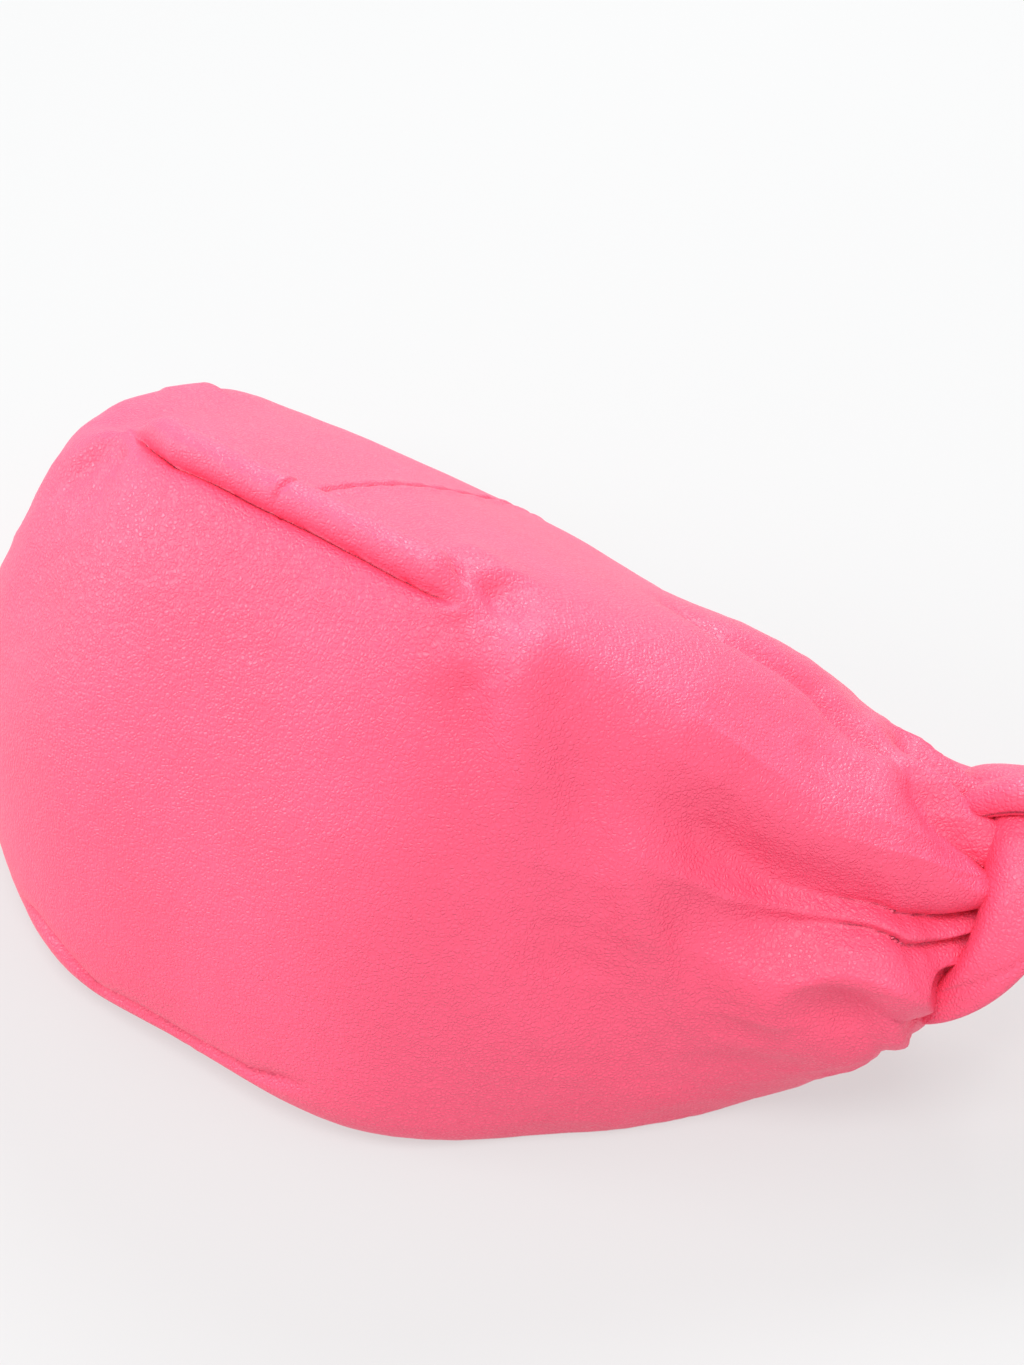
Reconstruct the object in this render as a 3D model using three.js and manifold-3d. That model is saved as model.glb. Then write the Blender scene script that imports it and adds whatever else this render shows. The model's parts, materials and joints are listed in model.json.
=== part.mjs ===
// A soft leather pouch bag with a knotted top handle, lying on its back.
// Millimetres, +Z up. X runs along the bag from its left knot to its right knot, Y runs from the
// base to the mouth, and Z rises from the back panel, which lies on the surface, to the front panel.
import * as THREE from "three";
import { mergeVertices } from "three/addons/utils/BufferGeometryUtils.js";
import Module from "manifold-3d";

const wasm = await Module();
wasm.setup();

// ---------- driving dimensions ----------
const REST_Y = 62; // the middle of the flat stretch of the back panel, where the origin is put
const LEATHER = 1.5; // outer leather
const TAPE = [1.8, 2.2]; // seam tape, measured inwards from the outer face
const LINING = [2.5, 3.1]; // lining
const FACING = [3.6, 4.7]; // leather facings on the lining
const TAG = [3.7, 4.5]; // blank tag on the lining
const GAP = 0.3; // clearance between pieces that touch

// The bag's cross-section at its middle: how far from base to mouth, and how high, both as shares.
// It runs from the front lip over the front panel, down the base and along the back to the back lip.
const BOX_SECTION = [
  [1.0, 0.34], [0.94, 0.5], [0.8, 0.675], [0.65, 0.81], [0.49, 0.92], [0.36, 0.985], [0.285, 1.0],
  [0.19, 0.885], [0.07, 0.57], [0.01, 0.27], [0.01, 0.06], [0.1, -0.01], [0.35, -0.02], [0.6, -0.02],
  [0.8, 0.0], [0.9, 0.035], [1.0, 0.1],
];
// Stations from the middle out to one neck. base and mouth are the ends of the section's foot line
// in plan, low and high are its lowest and highest points, and round goes from the box to a circle.
// lean is how far the section's top stands beyond its bottom, towards the knot.
const MIDDLE = { base: [0, 8], mouth: [0, 150], low: 0, high: 131, round: 0 };
const RIGHT_SHOULDER = [
  { base: [44, 13], mouth: [42, 150], low: -3, high: 126, round: 0.08 },
  { base: [78, 39], mouth: [72, 149], low: -7, high: 110, round: 0.4 },
  { base: [106, 65], mouth: [90, 146], low: -3, high: 88, round: 0.75 },
];
const LEFT_SHOULDER = [
  { base: [44, 10], mouth: [42, 150], low: -3, high: 127, round: 0.08 },
  { base: [85, 28], mouth: [72, 149], low: -7, high: 105, round: 0.36 },
  { base: [111, 61], mouth: [90, 147], low: -3, high: 72, round: 0.72 },
];
const RIGHT_NECK = [
  { base: [126, 82], mouth: [96, 141], low: 8, high: 79, round: 1, lean: 6 },
  { base: [133, 95], mouth: [102, 133], low: 21, high: 70, round: 1, lean: 20 },
  { base: [137, 109], mouth: [116, 136], low: 28, high: 64, round: 1, lean: 17 },
];
const LEFT_NECK = [
  { base: [129, 87], mouth: [96, 144], low: 1, high: 62, round: 1 },
  { base: [131, 102], mouth: [100, 136], low: 3, high: 47, round: 1 },
  { base: [137, 115], mouth: [116, 139], low: 9, high: 40, round: 1 },
];
const DEPTH = MIDDLE.mouth[1] - MIDDLE.base[1];
const NECK_STATION = 6; // the last station of each end
const ALONG_STEP = 0.4; // grid of the sheets, in stations
const AROUND_STEP = 1 / 26; // and as a share of the way round
const MOUTH_PINCH = 0.006; // half of the slit that is left between the lips at a neck

const RIGHT_HEADING = 39; // degrees from +X to the right neck's axis
const KNOT_COS = Math.cos(THREE.MathUtils.degToRad(RIGHT_HEADING));
const KNOT_SIN = Math.sin(THREE.MathUtils.degToRad(RIGHT_HEADING));
const boxCurve = new THREE.CatmullRomCurve3(
  BOX_SECTION.map(([reach, rise]) => new THREE.Vector3(reach * DEPTH, 0, rise * MIDDLE.high)),
);
boxCurve.arcLengthDivisions = 600;

const mirrored = (station) => ({
  ...station,
  base: [-station.base[0], station.base[1]],
  mouth: [-station.mouth[0], station.mouth[1]],
});
const STATIONS = [
  ...[...LEFT_SHOULDER, ...LEFT_NECK].reverse().map(mirrored),
  MIDDLE,
  ...RIGHT_SHOULDER,
  ...RIGHT_NECK,
];

// A smooth value through a list of numbers, at any place between them.
function through(values, place) {
  const last = values.length - 1;
  const i = Math.min(Math.max(Math.floor(place), 0), last - 1);
  const k = place - i;
  const b = values[i];
  const c = values[i + 1];
  const a = i > 0 ? values[i - 1] : 2 * b - c;
  const d = i + 2 <= last ? values[i + 2] : 2 * c - b;
  return b + 0.5 * k * (c - a + k * (2 * a - 5 * b + 4 * c - d + k * (3 * (b - c) + d - a)));
}

const LANES = {
  baseX: STATIONS.map((s) => s.base[0]),
  baseY: STATIONS.map((s) => s.base[1]),
  mouthX: STATIONS.map((s) => s.mouth[0]),
  mouthY: STATIONS.map((s) => s.mouth[1]),
  low: STATIONS.map((s) => s.low),
  high: STATIONS.map((s) => s.high),
  round: STATIONS.map((s) => s.round),
  lean: STATIONS.map((s) => s.lean ?? 0),
};

// A point of the bag's outer face. along runs from -6 at the left neck to 6 at the right neck, and
// around runs from 0 at the front lip to 1 at the back lip.
function skin(along, around) {
  const place = along + NECK_STATION;
  const at = Object.fromEntries(
    Object.entries(LANES).map(([name, values]) => [name, through(values, place)]),
  );
  const box = boxCurve.getPointAt(Math.min(Math.max(around, 0), 1));
  const turn = 2 * Math.PI * (MOUTH_PINCH + around * (1 - 2 * MOUTH_PINCH));
  const round = Math.min(Math.max(at.round, 0), 1);
  const reach = THREE.MathUtils.lerp(box.x / DEPTH, 0.5 + 0.5 * Math.cos(turn), round);
  const rise = THREE.MathUtils.lerp(box.z / MIDDLE.high, 0.5 + 0.5 * Math.sin(turn), round);
  const leaned = at.lean * (rise - 0.5);
  return new THREE.Vector3(
    at.baseX + reach * (at.mouthX - at.baseX) + leaned * KNOT_COS,
    at.baseY + reach * (at.mouthY - at.baseY) + leaned * KNOT_SIN,
    Math.max(at.low + rise * (at.high - at.low), 0),
  );
}

// The unit normal of the outer face, pointing into the bag.
function inward(along, around) {
  const step = 0.01;
  const a = Math.min(Math.max(along, -NECK_STATION + step), NECK_STATION - step);
  const t = Math.min(Math.max(around, step), 1 - step);
  const lengthways = skin(a + step, t).sub(skin(a - step, t));
  const crossways = skin(a, t + step).sub(skin(a, t - step));
  return crossways.cross(lengthways).normalize().negate();
}

const inside = (along, around, depth) =>
  skin(along, around).addScaledVector(inward(along, around), depth);

// The places of one shared grid between two ends, with the ends themselves. Every sheet is cut on the
// same grid, so that stacked sheets have parallel facets and stay clear of each other.
function gridPlaces([from, to], step) {
  const places = [from];
  for (let k = Math.ceil(from / step + 0.25); k * step < to - step / 4; k++) places.push(k * step);
  places.push(to);
  return places;
}

// A closed sheet between two depths under the outer face, over a patch of it.
function sheet(alongSpan, aroundSpan, [outer, inner]) {
  const alongPlaces = gridPlaces(alongSpan, ALONG_STEP);
  const aroundPlaces = gridPlaces(aroundSpan, AROUND_STEP);
  const rows = alongPlaces.length - 1;
  const columns = aroundPlaces.length - 1;
  const positions = [];
  for (const depth of [outer, inner]) {
    for (const along of alongPlaces) {
      for (const around of aroundPlaces) positions.push(...inside(along, around, depth).toArray());
    }
  }
  const index = [];
  const wide = columns + 1;
  const layer = (rows + 1) * wide;
  const quad = (a, b, c, d) => index.push(a, b, c, a, c, d);
  for (let i = 0; i < rows; i++) {
    for (let j = 0; j < columns; j++) {
      const a = i * wide + j;
      quad(a, a + wide, a + wide + 1, a + 1);
      quad(layer + a, layer + a + 1, layer + a + wide + 1, layer + a + wide);
    }
  }
  for (let i = 0; i < rows; i++) {
    const a = i * wide;
    const b = a + columns;
    quad(a, layer + a, layer + a + wide, a + wide);
    quad(b, b + wide, layer + b + wide, layer + b);
  }
  for (let j = 0; j < columns; j++) {
    const b = rows * wide + j;
    quad(j, j + 1, layer + j + 1, layer + j);
    quad(b, layer + b, layer + b + 1, b + 1);
  }
  return closed(positions, index);
}

// A geometry from points and triangles, turned the right way out.
function closed(positions, index) {
  const geometry = new THREE.BufferGeometry();
  geometry.setAttribute("position", new THREE.Float32BufferAttribute(positions, 3));
  geometry.setIndex(index);
  return volumeOf(geometry) < 0 ? flipped(geometry) : geometry;
}

function volumeOf(geometry) {
  const p = geometry.getAttribute("position");
  const index = geometry.getIndex().array;
  const corner = (i) => new THREE.Vector3().fromBufferAttribute(p, index[i]);
  let sum = 0;
  for (let i = 0; i < index.length; i += 3) {
    sum += corner(i).dot(corner(i + 1).cross(corner(i + 2))) / 6;
  }
  return sum;
}

function flipped(geometry) {
  const index = Array.from(geometry.getIndex().array);
  for (let i = 0; i < index.length; i += 3) {
    [index[i + 1], index[i + 2]] = [index[i + 2], index[i + 1]];
  }
  return geometry.clone().setIndex(index);
}

// ---------- joining and cutting ----------
function toSolid(geometry) {
  const plain = geometry.clone();
  plain.deleteAttribute("normal");
  plain.deleteAttribute("uv");
  const merged = mergeVertices(plain, 1e-4);
  return new wasm.Manifold(
    new wasm.Mesh({
      numProp: 3,
      vertProperties: merged.getAttribute("position").array,
      triVerts: new Uint32Array(merged.getIndex().array),
    }),
  );
}

function fromSolid(solid) {
  const mesh = solid.getMesh();
  const geometry = new THREE.BufferGeometry();
  geometry.setAttribute("position", new THREE.BufferAttribute(mesh.vertProperties, 3));
  geometry.setIndex(new THREE.BufferAttribute(mesh.triVerts, 1));
  return geometry;
}

const joined = (first, ...rest) =>
  fromSolid(rest.reduce((sum, part) => sum.add(toSolid(part)), toSolid(first)));
const cut = (first, ...rest) =>
  fromSolid(rest.reduce((left, part) => left.subtract(toSolid(part)), toSolid(first)));

const box = (size, centre) =>
  new THREE.BoxGeometry(...size).translate(...centre);

// ---------- materials ----------
const material = (color, roughness, metalness = 0) =>
  new THREE.MeshStandardMaterial({ color, roughness, metalness });
const PINK = material(0xff5c82, 0.48);
const PINK_FACING = material(0xf5527a, 0.5);
const LINING_CLOTH = material(0xd9a3ab, 0.85);
const TAPE_CLOTH = material(0xf0d8da, 0.9);
const CORE_FOAM = material(0xe8e2d8, 0.95);
const GILT = material(0xc9a45a, 0.3, 1);
const ZIP_CLOTH = material(0xe0587c, 0.85);

const bag = new THREE.Group();
bag.position.y = -REST_Y;

function add(name, geometry, look, parent = bag) {
  const mesh = new THREE.Mesh(geometry, look);
  mesh.name = name;
  parent.add(mesh);
  return mesh;
}

// ---------- outer leather, lining and the strips sewn to them ----------
const LINING_END = 4.3; // the lining stops this many stations from the middle, short of the necks
const LIP = 0.012; // how far the lining and facings stay behind the leather's lips
const FACING_END = 2.6;
const FACING_SHARE = 0.075; // how far a facing reaches round from its lip
const FACING_SPAN = [-FACING_END, FACING_END];
add("outer_body", sheet([-NECK_STATION, NECK_STATION], [0, 1], [0, LEATHER]), PINK);
add("lining", sheet([-LINING_END, LINING_END], [LIP, 1 - LIP], LINING), LINING_CLOTH);
add("front_facing", sheet(FACING_SPAN, [LIP, FACING_SHARE], FACING), PINK_FACING);
add("back_facing", sheet(FACING_SPAN, [1 - FACING_SHARE, 1 - LIP], FACING), PINK_FACING);

const TAPE_HALF_WIDTH = 0.1; // in stations, about 4 mm
const FRONT_FOLD = 0.33; // where the front panel meets the base, round the section
const BACK_FOLD = 0.645; // where the base meets the back panel
const TAPE_SPAN = [-TAPE_HALF_WIDTH, TAPE_HALF_WIDTH];
add("front_seam_tape", sheet(TAPE_SPAN, [0.02, FRONT_FOLD - 0.07], TAPE), TAPE_CLOTH);
add("back_seam_tape", sheet(TAPE_SPAN, [BACK_FOLD + 0.05, 0.98], TAPE), TAPE_CLOTH);
add("inner_tag", sheet([-0.36, 0.36], [0.872, 0.915], TAG), PINK_FACING);

// ---------- magnetic snap ----------
const SNAP_RADIUS = 8;
const SNAP_GAP = 1.5; // its flat back stands this far off the curved facing
const SNAP_SHARE = 0.04; // how far from each lip the snap is set

// Turns a piece that was made standing on z = 0 so that it stands on the facing, pointing inwards.
function onFacing(geometry, around) {
  const normal = inward(0, around);
  const turn = new THREE.Quaternion().setFromUnitVectors(new THREE.Vector3(0, 0, 1), normal);
  return geometry
    .applyQuaternion(turn)
    .translate(...inside(0, around, FACING[1] + SNAP_GAP).toArray());
}

const LATHE_SIDES = 24;
function lathe(profile) {
  const geometry = new THREE.LatheGeometry(
    profile.map(([r, z]) => new THREE.Vector2(r, z)),
    LATHE_SIDES,
  );
  geometry.deleteAttribute("normal");
  geometry.deleteAttribute("uv");
  const merged = mergeVertices(geometry.rotateX(Math.PI / 2), 1e-4);
  return volumeOf(merged) < 0 ? flipped(merged) : merged;
}

const SOCKET = [
  [0, 0], [SNAP_RADIUS, 0], [SNAP_RADIUS, 2.2], [SNAP_RADIUS - 0.8, 3], [3.3, 3], [3.3, 1], [0, 1],
];
const STUD = [
  [0, 0], [SNAP_RADIUS, 0], [SNAP_RADIUS, 1], [SNAP_RADIUS - 0.6, 1.6], [2.7, 1.6], [2.7, 3.2],
  [2.1, 3.8], [0, 3.8],
];
add("snap_socket", onFacing(lathe(SOCKET), 1 - SNAP_SHARE), GILT);
add("snap_stud", onFacing(lathe(STUD), SNAP_SHARE), GILT);

// ---------- inner pocket with its zip, flat on the back lining ----------
const POCKET = { x: 112, y: 60, z: 5, wall: 0.8 };
const POCKET_Y = 69;
const POCKET_Z = LINING[1] + GAP; // the pocket's underside
const ZIP_Y = POCKET_Y + 22;
const ZIP_LENGTH = 100;
const SLOT = { long: ZIP_LENGTH - 6, wide: 5, deep: 4 }; // the opening under the zip
const TOP_Z = POCKET_Z + POCKET.z;

const pocketMiddle = [0, POCKET_Y, POCKET_Z + POCKET.z / 2];
const pocketHollow = [POCKET.x, POCKET.y, POCKET.z].map((size) => size - 2 * POCKET.wall);
const slot = box([SLOT.long, SLOT.wide, SLOT.deep], [0, ZIP_Y, TOP_Z]);
add(
  "pocket_bag",
  cut(box([POCKET.x, POCKET.y, POCKET.z], pocketMiddle), box(pocketHollow, pocketMiddle), slot),
  LINING_CLOTH,
);

const ZIP_TAPE = { width: 9, thick: 0.6 };
const CHAIN_HALF = 0.25; // from the middle of the chain to each row of teeth
const TOOTH = { deep: 2.1, long: 1.5, high: 1.3, rail: 0.8, pitch: 4 };
const TEETH_MARGIN = 4; // the tape that is left bare beyond each end of the teeth
const FIRST_TOOTH = 0.5; // the rail before the first tooth
const TAPE_Z = TOP_Z + GAP;
const TEETH_Z = TAPE_Z + ZIP_TAPE.thick + GAP;
for (const [side, sign] of [["upper", 1], ["lower", -1]]) {
  const tapeY = ZIP_Y + sign * (CHAIN_HALF + ZIP_TAPE.width / 2);
  const tape = box([ZIP_LENGTH, ZIP_TAPE.width, ZIP_TAPE.thick], [0, tapeY, TAPE_Z + ZIP_TAPE.thick / 2]);
  add("zip_tape_" + side, tape, ZIP_CLOTH);
  add("zip_teeth_" + side, teeth(sign), GILT);
}

// A row of teeth on its rail, as one comb. The two rows are half a pitch apart.
function teeth(sign) {
  const near = CHAIN_HALF;
  const back = near + TOOTH.deep;
  const half = ZIP_LENGTH / 2 - TEETH_MARGIN;
  const comb = new THREE.Shape();
  comb.moveTo(-half, back);
  const shift = sign > 0 ? 0 : TOOTH.pitch / 2;
  for (let x = -half + FIRST_TOOTH + shift; x + TOOTH.long < half; x += TOOTH.pitch) {
    comb.lineTo(x, back - TOOTH.rail);
    comb.lineTo(x, near);
    comb.lineTo(x + TOOTH.long, near);
    comb.lineTo(x + TOOTH.long, back - TOOTH.rail);
  }
  comb.lineTo(half, back);
  const geometry = new THREE.ExtrudeGeometry(comb, { depth: TOOTH.high, bevelEnabled: false });
  if (sign < 0) geometry.rotateZ(Math.PI);
  return geometry.translate(0, ZIP_Y, TEETH_Z);
}

const TEETH_TOP = TEETH_Z + TOOTH.high;
const STOP = [2.2, 5.4, 1.6];
const STOP_X = ZIP_LENGTH / 2 - 1.7;
for (const [end, sign] of [["start", -1], ["end", 1]]) {
  const place = [sign * STOP_X, ZIP_Y, TEETH_Z + STOP[2] / 2];
  add("zip_stop_" + end, box(STOP, place), GILT);
}

// The slider is a channel that runs over the teeth, with a bridge that holds the pull's eye.
const SLIDER = { long: 8.5, wide: 7.4, wall: 0.9, top: 1.1 };
const SLIDER_X = -ZIP_LENGTH / 2 + 9.5;
const PLATE_Z = TEETH_TOP + GAP;
const BRIDGE = { long: 5, wide: 1.4, bar: 1.0, clear: 2.2 };
const PLATE_TOP = PLATE_Z + SLIDER.top;
const LAP = 0.2; // how far the slider's bars run into one another
const flank = PLATE_Z - TEETH_Z + LAP;
const flankY = (SLIDER.wide - SLIDER.wall) / 2;
const bridgeTop = PLATE_TOP + BRIDGE.clear + BRIDGE.bar / 2;
const sliderBars = [box([BRIDGE.long + BRIDGE.bar, BRIDGE.wide, BRIDGE.bar], [0, 0, bridgeTop])];
for (const sign of [-1, 1]) {
  const post = [BRIDGE.bar, BRIDGE.wide, BRIDGE.clear + 2 * LAP];
  sliderBars.push(
    box([SLIDER.long, SLIDER.wall, flank], [0, sign * flankY, TEETH_Z + flank / 2]),
    box(post, [(sign * BRIDGE.long) / 2, 0, PLATE_TOP + BRIDGE.clear / 2]),
  );
}
const plate = box([SLIDER.long, SLIDER.wide, SLIDER.top], [0, 0, PLATE_Z + SLIDER.top / 2]);
add("zip_slider", joined(plate, ...sliderBars).translate(SLIDER_X, ZIP_Y, 0), GILT);

// The pull is a flat tab with a crossbar under the bridge, and lies along the zip.
const PULL = { thick: 1.2, wide: 6, long: 22, cheek: 1.3, back: 1, eye: [0.2, 4.6] };
const PULL_Z = PLATE_TOP + BRIDGE.clear / 2;
const pullHalf = PULL.wide / 2;
const tipX = PULL.long - pullHalf;
const pullOutline = new THREE.Shape();
pullOutline.moveTo(-PULL.back, -pullHalf);
pullOutline.lineTo(tipX, -pullHalf);
pullOutline.absarc(tipX, 0, pullHalf, -Math.PI / 2, Math.PI / 2, false);
pullOutline.lineTo(-PULL.back, pullHalf);
pullOutline.closePath();
const eye = new THREE.Path();
const eyeHalf = pullHalf - PULL.cheek;
const [eyeNear, eyeFar] = PULL.eye;
eye.moveTo(eyeNear, -eyeHalf);
eye.lineTo(eyeNear, eyeHalf);
eye.lineTo(eyeFar, eyeHalf);
eye.lineTo(eyeFar, -eyeHalf);
eye.closePath();
pullOutline.holes.push(eye);
const tab = new THREE.ExtrudeGeometry(pullOutline, {
  depth: PULL.thick,
  bevelEnabled: false,
  curveSegments: 8,
});
const PULL_X = SLIDER_X + BRIDGE.long / 2 - 1.3; // the crossbar's place, under the bridge
add("zip_pull", tab.translate(PULL_X, ZIP_Y, PULL_Z - PULL.thick / 2), GILT);

// ---------- knots ----------
// Each knot is a wide wrap of the handle's leather round the neck, and a full turn at its outer end.
const RIGHT_KNOT = {
  middle: [130, 125, 45.5],
  heading: 45,
  tilt: 25,
  outer: 30.5,
  inner: 24.8,
  width: 18,
  turn: { middle: [145, 140, 38], ring: 9.5, tube: 10.5 },
};
const LEFT_KNOT = {
  middle: [-130.5, 132.5, 25],
  heading: 180 - 42,
  tilt: -6,
  outer: 24,
  inner: 19,
  width: 22,
  turn: { middle: [-143, 143.5, 21], ring: 9.5, tube: 7.5 },
};

// A closed ring: an upright oval of leather swept round the neck.
const WRAP_SIDES = 8; // of the oval
function wrap({ outer, inner, width }) {
  const thick = (outer - inner) / 2;
  const middle = (outer + inner) / 2;
  const profile = [];
  for (let k = 0; k <= WRAP_SIDES; k++) {
    const angle = (k / WRAP_SIDES) * Math.PI * 2;
    profile.push([middle + thick * Math.cos(angle), (width / 2) * Math.sin(angle)]);
  }
  return lathe(profile);
}

// Lays a ring made about Z over onto a neck's heading, tilted in the upright plane of that heading.
function alongNeck(geometry, heading, tilt, middle) {
  const toHeading = THREE.MathUtils.degToRad(heading);
  return geometry
    .rotateY(Math.PI / 2 + THREE.MathUtils.degToRad(tilt))
    .rotateZ(toHeading)
    .translate(...middle);
}

const TURN_SIDES = 8;
const TURN_STEPS = 18;
const ring = ({ ring: radius, tube }) => {
  const torus = new THREE.TorusGeometry(radius, tube, TURN_SIDES, TURN_STEPS);
  torus.deleteAttribute("normal");
  torus.deleteAttribute("uv");
  return mergeVertices(torus, 1e-4);
};

for (const [side, knot] of [["right", RIGHT_KNOT], ["left", LEFT_KNOT]]) {
  const { heading, tilt, middle, turn } = knot;
  const around = alongNeck(wrap(knot), heading, tilt, middle);
  const end = alongNeck(ring(turn), heading, 0, turn.middle);
  add(side + "_knot_wrap", around, PINK);
  add(side + "_knot_turn", end, PINK);
}

// ---------- handle ----------
const HINGE = { y: 153, z: 18 };
const HANDLE = { outer: 10, wall: 1.4, core: 7.8 };
const HANDLE_ROUTE = [
  [167, HINGE.y, HINGE.z], [179, 158, 15], [184, 170, 12], [173, 181, 11], [145, 184, 11], [112, 181, 11],
  [60, 174, 11], [0, 171, 11], [-60, 174, 11], [-110, 180, 11], [-138, 182, 11],
  [-152, 179, 11], [-163, 172, 12], [-164, 161, 15], [-157, HINGE.y, HINGE.z],
];
const handleCurve = new THREE.CatmullRomCurve3(
  HANDLE_ROUTE.map((p) => new THREE.Vector3(...p)),
  false,
  "centripetal",
);

function circle(radius, sides) {
  const points = [];
  for (let k = 0; k < sides; k++) {
    const angle = (k / sides) * Math.PI * 2;
    points.push(new THREE.Vector2(radius * Math.cos(angle), radius * Math.sin(angle)));
  }
  return points;
}

const HANDLE_STEPS = 38;
function tube(radius, hole, sides) {
  const shape = new THREE.Shape(circle(radius, sides));
  if (hole) shape.holes.push(new THREE.Path(circle(hole, sides)));
  return new THREE.ExtrudeGeometry(shape, {
    steps: HANDLE_STEPS,
    extrudePath: handleCurve,
    bevelEnabled: false,
  });
}

add("handle", tube(HANDLE.outer, HANDLE.outer - HANDLE.wall, 10), PINK);
add("handle_core", tube(HANDLE.core, 0, 8), CORE_FOAM);

export default bag;
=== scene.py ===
"""Looks of a soft leather pouch bag with a knotted top handle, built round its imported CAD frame.

Lengths in the shape tables are millimetres in the bag's own frame: X runs from the left knot to the
right knot, Y from the base to the mouth, Z from the back panel, which lies on the table, to the front
panel. Finished meshes are in metres in the row frame, whose origin lies REST_Y beyond the base.
"""

import json
import math

import bmesh
import bpy
import numpy as np
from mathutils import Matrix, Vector

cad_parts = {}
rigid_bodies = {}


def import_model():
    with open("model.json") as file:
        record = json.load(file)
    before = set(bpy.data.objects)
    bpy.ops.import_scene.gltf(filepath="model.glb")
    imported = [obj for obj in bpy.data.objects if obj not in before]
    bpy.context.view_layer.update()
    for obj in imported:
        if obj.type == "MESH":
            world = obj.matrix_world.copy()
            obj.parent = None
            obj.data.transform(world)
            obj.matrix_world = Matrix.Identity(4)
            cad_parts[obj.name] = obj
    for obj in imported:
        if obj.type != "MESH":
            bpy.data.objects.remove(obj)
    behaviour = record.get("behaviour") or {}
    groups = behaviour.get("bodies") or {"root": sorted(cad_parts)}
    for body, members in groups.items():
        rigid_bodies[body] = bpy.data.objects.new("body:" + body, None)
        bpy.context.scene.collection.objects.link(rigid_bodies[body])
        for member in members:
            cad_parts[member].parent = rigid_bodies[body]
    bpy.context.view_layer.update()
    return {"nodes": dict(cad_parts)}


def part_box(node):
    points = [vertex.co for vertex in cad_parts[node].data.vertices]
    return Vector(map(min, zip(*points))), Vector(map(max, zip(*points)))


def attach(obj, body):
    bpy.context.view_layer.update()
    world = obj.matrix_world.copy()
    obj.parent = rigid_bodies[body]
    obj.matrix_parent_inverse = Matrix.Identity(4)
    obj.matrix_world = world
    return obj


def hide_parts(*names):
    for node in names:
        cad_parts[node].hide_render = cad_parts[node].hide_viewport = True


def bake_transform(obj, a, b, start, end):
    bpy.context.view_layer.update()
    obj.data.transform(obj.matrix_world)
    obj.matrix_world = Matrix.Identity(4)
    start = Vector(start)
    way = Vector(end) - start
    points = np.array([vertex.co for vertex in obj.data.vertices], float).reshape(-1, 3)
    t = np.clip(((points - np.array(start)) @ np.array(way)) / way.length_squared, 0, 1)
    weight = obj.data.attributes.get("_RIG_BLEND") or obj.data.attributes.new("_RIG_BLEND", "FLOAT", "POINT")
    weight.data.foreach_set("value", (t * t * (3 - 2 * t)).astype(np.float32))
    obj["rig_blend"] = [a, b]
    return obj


bl_info = {
    "name": "Knotted pouch bag",
    "version": (1, 0, 0),
    "blender": (4, 5, 0),
    "location": "View3D > Sidebar > Bag",
    "description": "Builds the soft parts, hardware and finishes of a knotted leather pouch bag",
    "category": "Object",
}

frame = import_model()
for loose in bpy.data.objects:
    loose.select_set(False)

MM = 0.001
REST_Y = 62.0  # from the base to the row frame's origin
NECK = 6.0  # the last station of each end
SEED = 11  # of every random draw

# ---------------------------------------------------------------- shape of the bag
# The middle's section as (share of the way from base to mouth, share of the height), front lip first.
BOX_SECTION = [
    (1.0, 0.34), (0.94, 0.5), (0.8, 0.675), (0.65, 0.81), (0.49, 0.92), (0.36, 0.985),
    (0.285, 1.0), (0.19, 0.885), (0.07, 0.57), (0.01, 0.27), (0.01, 0.06), (0.1, -0.01),
    (0.35, -0.02), (0.6, -0.02), (0.8, 0.0), (0.9, 0.035), (1.0, 0.1),
]
# A station is: base x, base y, mouth x, mouth y, lowest z, highest z, roundness, lean.
MIDDLE = (0, 8, 0, 150, 0, 131, 0, 0)
RIGHT = [
    (44, 13, 42, 150, -3, 126, 0.08, 0), (78, 39, 72, 149, -7, 110, 0.4, 0),
    (106, 65, 90, 146, -3, 88, 0.75, 0), (126, 82, 96, 141, 8, 79, 1, 6),
    (133, 95, 102, 133, 21, 70, 1, 20), (137, 109, 116, 136, 28, 64, 1, 17),
]
LEFT = [
    (44, 10, 42, 150, -3, 127, 0.08, 0), (85, 28, 72, 149, -7, 105, 0.36, 0),
    (111, 61, 90, 147, -3, 72, 0.72, 0), (129, 87, 96, 144, 1, 62, 1, 0),
    (131, 102, 100, 136, 3, 47, 1, 0), (137, 115, 116, 139, 9, 40, 1, 0),
]
DEPTH = MIDDLE[3] - MIDDLE[1]
HEIGHT = MIDDLE[5]
MOUTH_PINCH = 0.006  # share of a round section that the mouth's slot takes on each side
RIGHT_HEADING = math.radians(39)  # the way the right neck's sections lean, from +X


def mirrored(station):
    """The same station on the other side of the middle."""
    return (-station[0], station[1], -station[2], *station[3:])


STATIONS = np.array([mirrored(s) for s in reversed(LEFT)] + [MIDDLE] + RIGHT, float)


def through(values, place):
    """Smooth values through a list, at any places between its entries."""
    last = len(values) - 1
    i = np.clip(np.floor(place).astype(int), 0, last - 1)
    k = (place - i)[..., None]
    b = values[i]
    c = values[i + 1]
    a = np.where((i > 0)[..., None], values[np.maximum(i - 1, 0)], 2 * b - c)
    d = np.where((i + 2 <= last)[..., None], values[np.minimum(i + 2, last)], 2 * c - b)
    return b + 0.5 * k * (c - a + k * (2 * a - 5 * b + 4 * c - d + k * (3 * (b - c) + d - a)))


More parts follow.
